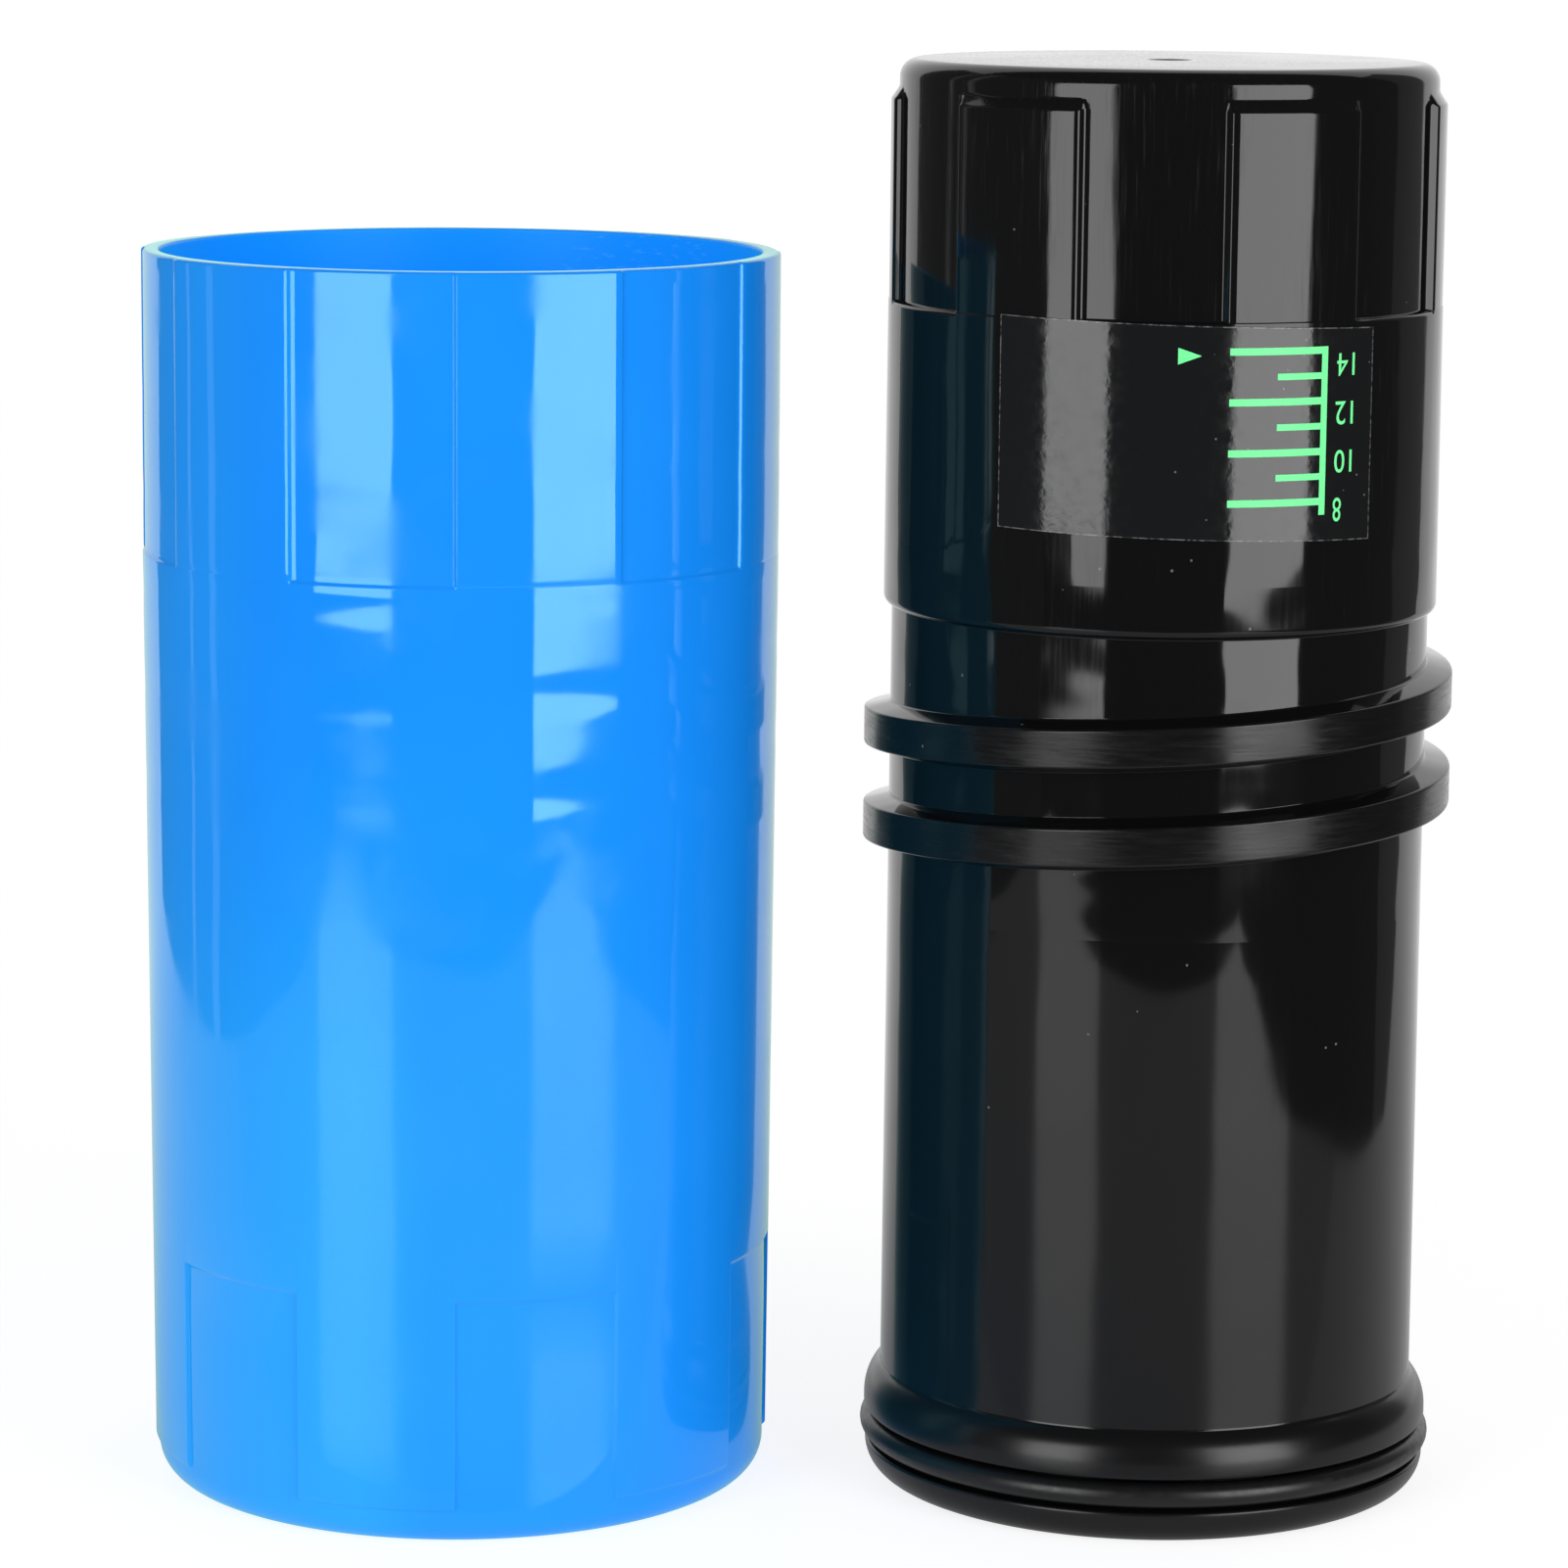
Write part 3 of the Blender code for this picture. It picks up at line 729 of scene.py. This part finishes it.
print_pieces += [number_plate(*number) for number in NUMBERS]
for piece in print_pieces:
    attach(piece, "unit")
print("scale has", len(print_pieces), "pieces")

# %% [markdown]
# ## Finishes
#
# Gloss plastic is never perfectly even. Photographs of scratched plastic could be wrapped round the
# pieces, but they repeat and need a flat layout. So each finish is built from a few layers of noise:
# broad, low waves that bend the reflections a little, smudges that make the gloss duller in patches,
# fine streaks from handling, and a few specks of dust. All of it is tied to the piece's own
# coordinates, so it travels with the piece.

# %% A bench for node trees
class Bench:
    """A node tree with one short call for each kind of node that the finishes need."""

    def __init__(self, tree):
        self.nodes = tree.nodes
        self.links = tree.links

    def feed(self, socket, value):
        """Sets a socket to a plain value, or links it to an output."""
        if isinstance(value, bpy.types.NodeSocket):
            self.links.new(value, socket)
        else:
            socket.default_value = value

    def combine(self, operation, first, second):
        node = self.nodes.new("ShaderNodeMath")
        node.operation = operation
        for socket, value in zip(node.inputs, (first, second)):
            self.feed(socket, value)
        return node.outputs["Value"]

    def times(self, first, second):
        return self.combine("MULTIPLY", first, second)

    def larger(self, first, second):
        return self.combine("MAXIMUM", first, second)

    def remap(self, value, low, high, new_low, new_high):
        ranged = self.nodes.new("ShaderNodeMapRange")
        ranged.clamp = True
        ends = {"From Min": low, "From Max": high, "To Min": new_low, "To Max": new_high}
        for socket, number in ends.items():
            ranged.inputs[socket].default_value = number
        self.feed(ranged.inputs["Value"], value)
        return ranged.outputs["Result"]

    def rays(self, *kinds):
        """1 for rays of any of these kinds, 0 for the others."""
        path = self.nodes.new("ShaderNodeLightPath")
        share = path.outputs[kinds[0]]
        for kind in kinds[1:]:
            share = self.larger(share, path.outputs[kind])
        return share


def grey(level):
    return (level, level, level, 1.0)


print("bench ready")


# %% A finish for each plastic
class Finish(Bench):
    """A new material, with its patterns in the piece's own coordinates."""

    def __init__(self, name):
        self.material = bpy.data.materials.new(name)
        self.material.use_nodes = True
        super().__init__(self.material.node_tree)
        self.shader = self.nodes["Principled BSDF"]

    def put(self, socket, value):
        self.feed(self.shader.inputs[socket], value)

    def dress(self, *pieces):
        for piece in pieces:
            piece.data.materials.clear()
            piece.data.materials.append(self.material)

    def own_place(self):
        return self.nodes.new("ShaderNodeTexCoord").outputs["Object"]

    def own_axes(self):
        """X, Y and Z in the piece's own coordinates."""
        split = self.nodes.new("ShaderNodeSeparateXYZ")
        self.links.new(self.own_place(), split.inputs["Vector"])
        return split.outputs["X"], split.outputs["Y"], split.outputs["Z"]

    def axis_distance(self, axis_x):
        """Distance from an upright axis."""
        value = self.own_place()
        for operation, amount in (("SUBTRACT", (axis_x, 0, 0)), ("MULTIPLY", (1, 1, 0))):
            step = self.nodes.new("ShaderNodeVectorMath")
            step.operation = operation
            step.inputs[1].default_value = amount
            self.links.new(value, step.inputs[0])
            value = step.outputs["Vector"]
        length = self.nodes.new("ShaderNodeVectorMath")
        length.operation = "LENGTH"
        self.links.new(value, length.inputs[0])
        return length.outputs["Value"]

    def noise(self, per_metre, detail, roughness=0.5, stretch=(1, 1, 1)):
        scale = self.nodes.new("ShaderNodeMapping")
        scale.inputs["Scale"].default_value = stretch
        self.links.new(self.own_place(), scale.inputs["Vector"])
        texture = self.nodes.new("ShaderNodeTexNoise")
        texture.inputs["Scale"].default_value = per_metre
        texture.inputs["Detail"].default_value = detail
        texture.inputs["Roughness"].default_value = roughness
        self.links.new(scale.outputs["Vector"], texture.inputs["Vector"])
        return texture.outputs["Fac"]

    def specks(self, per_metre, size):
        """1 on sparse round specks of that radius, 0 elsewhere."""
        cells = self.nodes.new("ShaderNodeTexVoronoi")
        cells.inputs["Scale"].default_value = per_metre
        self.links.new(self.own_place(), cells.inputs["Vector"])
        return self.combine("LESS_THAN", cells.outputs["Distance"], size * per_metre)

    def tint(self, share, low_colour, high_colour):
        mix = self.nodes.new("ShaderNodeMix")
        mix.data_type = "RGBA"
        sockets = {socket.identifier: socket for socket in mix.inputs}
        self.feed(sockets["Factor_Float"], share)
        self.feed(sockets["A_Color"], low_colour)
        self.feed(sockets["B_Color"], high_colour)
        return next(socket for socket in mix.outputs if socket.identifier == "Result_Color")

    def bump(self, height, distance, under=None):
        node = self.nodes.new("ShaderNodeBump")
        node.inputs["Strength"].default_value = 1.0
        node.inputs["Distance"].default_value = distance
        self.links.new(height, node.inputs["Height"])
        if under is not None:
            self.links.new(under, node.inputs["Normal"])
        return node.outputs["Normal"]


print("finishes ready")

# %% [markdown]
# ## Blue plastic
#
# The cup is a strong, even blue with a wet gloss. The lower left of its front is painted a trace
# greener, as painted bounce light from the table. Seen in the black unit, which mirrors it, the cup
# looks teal, so rays that come from a mirror get another tint. A few pale scuffs sit inside. Full
# translucency would need light scattered in the wall, which is slow and grainy, so the inside glows
# a little instead.

# %% Blue colour
DEEP_BLUE, BRIGHT_BLUE = (0.0075, 0.262, 0.96, 1.0), (0.009, 0.276, 0.99, 1.0)
PAINTED_TABLE_LIGHT_BLUE = (0.014, 0.335, 0.96, 1.0)
MIRRORED_TEAL = (0.012, 0.21, 0.38, 1.0)
SCUFF_BLUE = (0.25, 0.6, 0.9, 1.0)
BORE_LIMIT = 42.5 * MM

blue = Finish("blue_gloss_plastic")
side, depth, height = blue.own_axes()
mottle = blue.remap(blue.noise(35.0, 3.0), 0.35, 0.65, 0.0, 1.0)
colour = blue.tint(mottle, DEEP_BLUE, BRIGHT_BLUE)

# Painted bounce light: the lower left of the front is tinted greener in the base colour, in place of light
# from the table.
low_down = blue.remap(height, 65 * MM, 110 * MM, 1.0, 0.0)
on_left = blue.remap(side, cup_x - 12 * MM, cup_x - 2 * MM, 1.0, 0.15)
far_left = blue.remap(side, cup_x - 32 * MM, cup_x - 26 * MM, 0.4, 0.0)
in_front = blue.remap(depth, -20 * MM, 0.0, 1.0, 0.0)
painted_table_light_share = blue.times(blue.larger(blue.times(low_down, on_left), far_left), in_front)
colour = blue.tint(painted_table_light_share, colour, PAINTED_TABLE_LIGHT_BLUE)
colour = blue.tint(blue.rays("Is Glossy Ray"), colour, MIRRORED_TEAL)

inside_share = blue.remap(blue.axis_distance(cup_x), BORE_LIMIT - 0.05 * MM, BORE_LIMIT + 0.05 * MM, 1.0, 0.0)
inside_share = blue.times(inside_share, blue.combine("GREATER_THAN", height, 2 * MM))
scuffs = blue.remap(blue.noise(420.0, 4.0, 0.7, (1.0, 1.0, 4.0)), 0.56, 0.68, 0.0, 0.25)
scuffed_patches = blue.remap(blue.noise(24.0, 1.0), 0.52, 0.6, 0.0, 1.0)
scuffs = blue.times(blue.times(scuffs, scuffed_patches), inside_share)
blue.put("Base Color", blue.tint(scuffs, colour, SCUFF_BLUE))
print("blue is", DEEP_BLUE[:3], "to", BRIGHT_BLUE[:3])

# %% [markdown]
# The gloss is tuned against the mirrored softboxes: a high index of refraction with a tinted mirror
# makes the bands pale blue and not white. A thin greenish sheen shows where the wall turns away. A
# clear coat could do this too, but its mirror is always white.

# %% Blue gloss
smudges = blue.remap(blue.noise(55.0, 4.0), 0.52, 0.68, 0.05, 0.17)
blue.put("Roughness", blue.larger(smudges, blue.times(inside_share, 0.38)))
blue.put("IOR", 1.66)
blue.put("Specular Tint", (0.53, 1.0, 1.0, 1.0))
blue.put("Specular IOR Level", blue.remap(inside_share, 0.0, 1.0, 0.5, 0.15))
blue.put("Sheen Weight", 0.5)
blue.put("Sheen Roughness", 0.3)
blue.put("Sheen Tint", (0.0, 1.0, 0.6, 1.0))
blue.put("Emission Color", (0.0, 0.45, 0.85, 1.0))
blue.put("Emission Strength", blue.times(inside_share, 0.2))
waves = blue.bump(blue.noise(38.0, 1.0), 0.22 * MM)
blue.put("Normal", blue.bump(blue.noise(900.0, 2.0), 0.0012 * MM, waves))
blue.dress(cup_shell)
print("blue finish on", cup_shell.name)

# %% [markdown]
# ## Black plastic
#
# The unit is a deep gloss black that shows all that happened to it: streaks and fine scratches near
# the grip end, dust, and turned marks on the crest of the thread, which rubs in the cup. One noise
# drives streaks and scratches, so that the light wear and the deep wear fall in the same places.

# %% Black colour and wear
PLASTIC_BLACK = (0.0038, 0.0038, 0.0039, 1.0)

black = Finish("black_gloss_plastic")
height = black.own_axes()[2]
streaks = black.noise(260.0, 3.0, 0.6, (9.0, 9.0, 0.35))
worn = black.remap(black.noise(28.0, 2.0), 0.36, 0.56, 0.0, 1.0)
worn = black.times(worn, black.remap(height, 120 * MM, 170 * MM, 0.15, 1.0))
rubbed = black.times(black.remap(streaks, 0.42, 0.75, 0.0, 0.16), worn)
scratched = black.times(black.remap(streaks, 0.6, 0.74, 0.0, 1.0), worn)
colour = black.tint(scratched, PLASTIC_BLACK, grey(0.011))
black.put("Base Color", black.tint(black.specks(160.0, 0.2 * MM), colour, grey(0.11)))

crest = black.remap(black.axis_distance(unit_x), 41.4 * MM, 41.55 * MM, 0.0, 1.0)
turned = black.noise(300.0, 3.0, 0.6, (0.6, 0.6, 9.0))
dull_crest = black.times(crest, black.remap(turned, 0.35, 0.7, 0.17, 0.3))
dull = black.larger(dull_crest, black.remap(height, 15.4 * MM, 16.6 * MM, 0.25, 0.0))
gloss = black.combine("ADD", rubbed, black.remap(height, 20 * MM, 80 * MM, 0.12, 0.055))
black.put("Roughness", black.larger(gloss, dull))
black.put("IOR", 1.45)
print("black is", PLASTIC_BLACK[:3])

# %% [markdown]
# The wall between the threads is a little uneven, which warps the mirrored bands there. The warps
# could be modelled, like the cup's sink marks, but they have no plain form. So they are a low bump,
# kept to the threaded stretch, on top of the waves that run all over the unit.

# %% Black waves and warps
zone = black.remap(height, 85 * MM, 98 * MM, 0.0, 1.0)
zone = black.times(zone, black.remap(height, 134 * MM, 152 * MM, 1.0, 0.0))
waves = black.bump(black.noise(36.0, 1.5), 0.3 * MM)
waves = black.bump(black.times(zone, black.noise(75.0, 1.0)), 0.28 * MM, waves)
waves = black.bump(black.times(crest, turned), 0.004 * MM, waves)
black.put("Normal", black.bump(streaks, 0.0015 * MM, waves))
black.dress(unit_shell)
print("black finish on", unit_shell.name)

# %% [markdown]
# ## Rubber, film and ink
#
# The ring is soft black rubber with a satin skin. A fine bump would be enough for its look from
# afar, but the roughness varies too, so that its highlight breaks up as on a real moulding.

# %% Rubber
rubber = Finish("seal_rubber")
rubber.put("Base Color", rubber.tint(rubber.noise(400.0, 3.0), grey(0.0035), grey(0.006)))
rubber.put("Roughness", rubber.remap(rubber.noise(700.0, 2.0), 0.3, 0.7, 0.28, 0.4))
rubber.put("Normal", rubber.bump(rubber.noise(1500.0, 2.0), 0.004 * MM))
rubber.dress(seal_cord)
print("rubber on", seal_cord.name)

# %% [markdown]
# The film is dark and glossy, with dust, orange peel, and a thin, broken light line along its cut
# edge. The line could be a piece of its own, but it is only 0.15 mm wide. So the finish works out
# how far a point is from the edge, from its height and its angle round the skirt, in radians.

# %% Label film
BORDER_WIDTH = 0.15 * MM
BORDER_ANGLE = 0.0045

label = Finish("label_film")
side, depth, height = label.own_axes()
side = label.combine("SUBTRACT", side, unit_x)
swing = label.combine("ARCTAN2", side, label.times(depth, -1.0))
swing = label.combine("SUBTRACT", swing, math.radians((LABEL_LEFT + LABEL_RIGHT) / 2))
level = label.combine("ADD", height, label.times(swing, LABEL_FALL))
level = label.combine("ABSOLUTE", label.combine("SUBTRACT", level, LABEL_MIDDLE_Z), 0.0)
swing = label.combine("ABSOLUTE", swing, 0.0)
half_width = math.radians(LABEL_RIGHT - LABEL_LEFT) / 2
at_side = label.combine("GREATER_THAN", swing, half_width - BORDER_ANGLE)
at_edge = label.combine("GREATER_THAN", level, LABEL_HEIGHT / 2 - BORDER_WIDTH)
broken = label.remap(label.noise(1300.0, 3.0), 0.42, 0.6, 0.1, 1.0)
border = label.times(label.larger(at_side, at_edge), broken)
colour = label.tint(label.specks(330.0, 0.15 * MM), (0.0076, 0.008, 0.0086, 1.0), grey(0.12))
label.put("Base Color", label.tint(border, colour, grey(0.13)))
label.put("Roughness", label.remap(label.noise(600.0, 3.0), 0.3, 0.7, 0.05, 0.14))
label.put("Normal", label.bump(label.noise(1100.0, 3.0), 0.012 * MM))
label.dress(film)
print("film finish on", film.name)

# %% [markdown]
# Screen-printed ink dries in an uneven coat. One soft noise between two greens is all that it needs.

# %% Green ink
INK_DARK, INK_LIGHT = (0.14, 0.88, 0.29, 1.0), (0.17, 0.98, 0.33, 1.0)

ink = Finish("green_ink")
ink.put("Base Color", ink.tint(ink.noise(900.0, 2.0), INK_DARK, INK_LIGHT))
ink.put("Roughness", 0.45)
ink.dress(*print_pieces)
print("ink on", len(print_pieces), "pieces")

# %% [markdown]
# ## The studio
#
# The photograph has a plain white background and a soft shadow. A white world bright enough to look
# white would also wash out the pieces. So the world is a gentle fill for soft light, and plain white
# only for the camera and for reflections.

# %% White world, soft fill
FILL_LIGHT = 0.42
world = bpy.data.worlds.new("studio")
bpy.context.scene.world = world
world.use_nodes = True
sky = Bench(world.node_tree)
fill = sky.nodes["Background"]
white = sky.nodes.new("ShaderNodeBackground")
for light, strength in ((fill, FILL_LIGHT), (white, 1.0)):
    light.inputs["Color"].default_value = grey(1.0)
    light.inputs["Strength"].default_value = strength
choice = sky.nodes.new("ShaderNodeMixShader")
seen = sky.rays("Is Camera Ray", "Is Glossy Ray", "Is Transmission Ray")
sky.links.new(seen, choice.inputs["Fac"])
sky.links.new(fill.outputs["Background"], choice.inputs[1])
sky.links.new(white.outputs["Background"], choice.inputs[2])
sky.links.new(choice.outputs["Shader"], sky.nodes["World Output"].inputs["Surface"])
print("fill light", FILL_LIGHT)

# %% [markdown]
# The floor has to keep the shadow and still vanish into the white. A shadow catcher would do for a
# picture from one side, but here the floor is mirrored too. So it is a mid grey that glows: to the
# camera almost up to white, in reflections less, and least towards the front. A satin card on its
# front part is seen in reflections alone and gives the lower walls the soft grey of the table.

# %% Floor and table card
FLOOR_FRONT, FLOOR_LEFT, FLOOR_RIGHT = -0.415, -0.39, 0.31
CARD_BACK, CARD_HEIGHT = -0.056, 0.6 * MM


def flat_panel(name, corners):
    return mesh_object(name, corners, [tuple(range(len(corners)))])


def only_reflected(panel):
    """Leaves a panel visible in reflections alone."""
    panel.visible_camera = False
    panel.visible_diffuse = False
    panel.visible_shadow = False
    panel.visible_transmission = False
    panel.visible_volume_scatter = False


floor_edge = [(FLOOR_LEFT, FLOOR_FRONT), (FLOOR_RIGHT, FLOOR_FRONT), (FLOOR_RIGHT, 0.1)]
floor_edge += [(8, 8), (8, 12), (-8, 12), (-8, 8), (FLOOR_LEFT, -FLOOR_LEFT)]
floor = flat_panel("floor", [(across, deep, 0) for across, deep in floor_edge])
table = Finish("white_floor")
table.put("Base Color", grey(0.32))
table.put("Roughness", 0.9)
table.put("Emission Color", grey(1.0))
mirrored = table.remap(table.own_axes()[1], -0.05, 0.35, 0.28, 0.78)
mirrored = table.times(mirrored, table.rays("Is Glossy Ray"))
seen = table.times(table.rays("Is Camera Ray", "Is Transmission Ray"), 0.82)
spread = table.times(table.rays("Is Diffuse Ray"), 0.75)
table.put("Emission Strength", table.larger(table.larger(seen, mirrored), spread))
table.dress(floor)

card_edge = floor_edge[:2] + [(FLOOR_RIGHT, CARD_BACK), (FLOOR_LEFT, CARD_BACK)]
card = flat_panel("table_card", [(across, deep, CARD_HEIGHT) for across, deep in card_edge])
satin = Finish("grey_card")
satin.put("Base Color", grey(0.77))
satin.put("Roughness", 0.28)
satin.dress(card)
only_reflected(card)
print("floor and card ready")

# %% [markdown]
# A glossy black thing looks black only when it has something dark to mirror. So a dark curtain
# hangs round the front, with a dark ceiling over it and lighter grey ends, and two narrow metal
# stands on the left draw thin lines down the walls. The dark room could be painted in the world,
# but real panels stand at a distance, so their reflections shift rightly from one wall to the next.

# %% Curtain, stands and ceiling
CURTAIN_RADIUS, STAND_RADIUS = 2.4, 2.3
CURTAIN_LOW, CURTAIN_HIGH = -1.8, 2.2
CURTAIN_STEP = 4
CEILING_BACK = 0.8
CLOTH_GREY = 0.02


def cloth(name, glow):
    finish = Finish(name)
    finish.put("Base Color", grey(CLOTH_GREY))
    finish.put("Roughness", 1.0)
    finish.put("Emission Color", grey(1.0))
    finish.put("Emission Strength", glow)
    return finish


def curtain(name, left, right, finish, radius=CURTAIN_RADIUS):
    """A bent panel round the middle of the set, from azimuth left to azimuth right."""
    points = []
    steps = max(1, round((right - left) / CURTAIN_STEP))
    for step in range(steps + 1):
        degrees = between(left, right, step / steps)
        points.append(polar(0, degrees, radius, CURTAIN_LOW))
        points.append(polar(0, degrees, radius, CURTAIN_HIGH))
    faces = [(row, row + 2, row + 3, row + 1) for row in range(0, len(points) - 2, 2)]
    hung = mesh_object(name, points, faces)
    finish.dress(hung)
    only_reflected(hung)


dark_cloth = cloth("dark_cloth", 0.05)
curtain("dark_curtain", -52, 108, dark_cloth)
curtain("left_wall", -108, -52, cloth("left_wall_cloth", 0.1))
stand_metal = cloth("stand_metal", 0.55)
curtain("stand_near", -98.3, -94.8, stand_metal, STAND_RADIUS)
curtain("stand_far", -110.5, -108.6, stand_metal, STAND_RADIUS)
curtain("left_curtain_end", -137, -108, cloth("left_grey_cloth", 0.08))
curtain("right_curtain_end", 108, 132, cloth("right_grey_cloth", 0.15))
ceiling_edge = [(-CURTAIN_RADIUS, -CURTAIN_RADIUS), (-CURTAIN_RADIUS, CEILING_BACK)]
ceiling_edge += [(CURTAIN_RADIUS, CEILING_BACK), (CURTAIN_RADIUS, -CURTAIN_RADIUS)]
ceiling = flat_panel("dark_ceiling", [(across, deep, CURTAIN_HIGH) for across, deep in ceiling_edge])
dark_cloth.dress(ceiling)
only_reflected(ceiling)
print("stage ready")

# %% [markdown]
# Two tall softboxes stand in front, one on each side, and put one clean band of light on each side
# of both halves. They could be glowing planes, but area lights are sampled better and leave less
# grain. Each stands at a slant, with its outer end farther away, so its mirrored band tapers there.

# %% Softboxes
INNER_DISTANCE = 1.12


def softbox(name, inner, outer, outer_distance, low, high, radiance):
    """An upright light panel from the inner azimuth to the outer one, which is farther away."""
    near = Vector(polar(0, inner, INNER_DISTANCE, (low + high) / 2))
    far = Vector(polar(0, outer, outer_distance, (low + high) / 2))
    left, right = (near, far) if inner < outer else (far, near)
    across = right - left
    lamp = bpy.data.lights.new(name, "AREA")
    lamp.shape = "RECTANGLE"
    lamp.size = across.length
    lamp.size_y = high - low
    lamp.energy = radiance * math.pi * across.length * (high - low)
    box = bpy.data.objects.new(name, lamp)
    bpy.context.scene.collection.objects.link(box)
    box.location = (near + far) / 2
    box.rotation_euler = (math.radians(90), 0.0, math.atan2(across.y, across.x))
    box.visible_camera = False
    return box


left_box = softbox("left_softbox", -23.5, -50.5, 1.32, -0.03, 0.72, 4.4)
right_box = softbox("right_softbox", 26.5, 58.5, 1.34, -0.08, 0.72, 4.8)
print("softboxes", round(left_box.data.energy, 2), round(right_box.data.energy, 2), "W")

# %% [markdown]
# ## The camera
#
# The photograph was taken from a little above the halves with a long lens. The place, tilt and lens
# come from fitting the outlines of both halves at once. A camera that tracks a target is quicker to
# set up, but it can't hold the slight roll of the real one. Tilt and roll are in radians.

# %% Camera
CAMERA_PLACE = Vector((-0.001835, -0.8017, 0.23351))
CAMERA_DOWN = 0.16464
CAMERA_ROLL = 0.00926
LENS = 130.516

lens = bpy.data.cameras.new("camera")
lens.lens = LENS
lens.sensor_width = 36.0
lens.clip_end = 100.0
camera = bpy.data.objects.new("camera", lens)
bpy.context.scene.collection.objects.link(camera)
right = Vector((1, 0, 0))
up = Vector((0, math.sin(CAMERA_DOWN), math.cos(CAMERA_DOWN)))
back = Vector((0, -math.cos(CAMERA_DOWN), math.sin(CAMERA_DOWN)))
rolled_right = right * math.cos(CAMERA_ROLL) + up * math.sin(CAMERA_ROLL)
rolled_up = up * math.cos(CAMERA_ROLL) - right * math.sin(CAMERA_ROLL)
turn = Matrix((rolled_right, rolled_up, back)).transposed().to_4x4()
camera.matrix_world = Matrix.Translation(CAMERA_PLACE) @ turn
bpy.context.scene.camera = camera
bpy.context.scene.view_settings.view_transform = "Standard"
print("camera at", [round(value, 3) for value in camera.location])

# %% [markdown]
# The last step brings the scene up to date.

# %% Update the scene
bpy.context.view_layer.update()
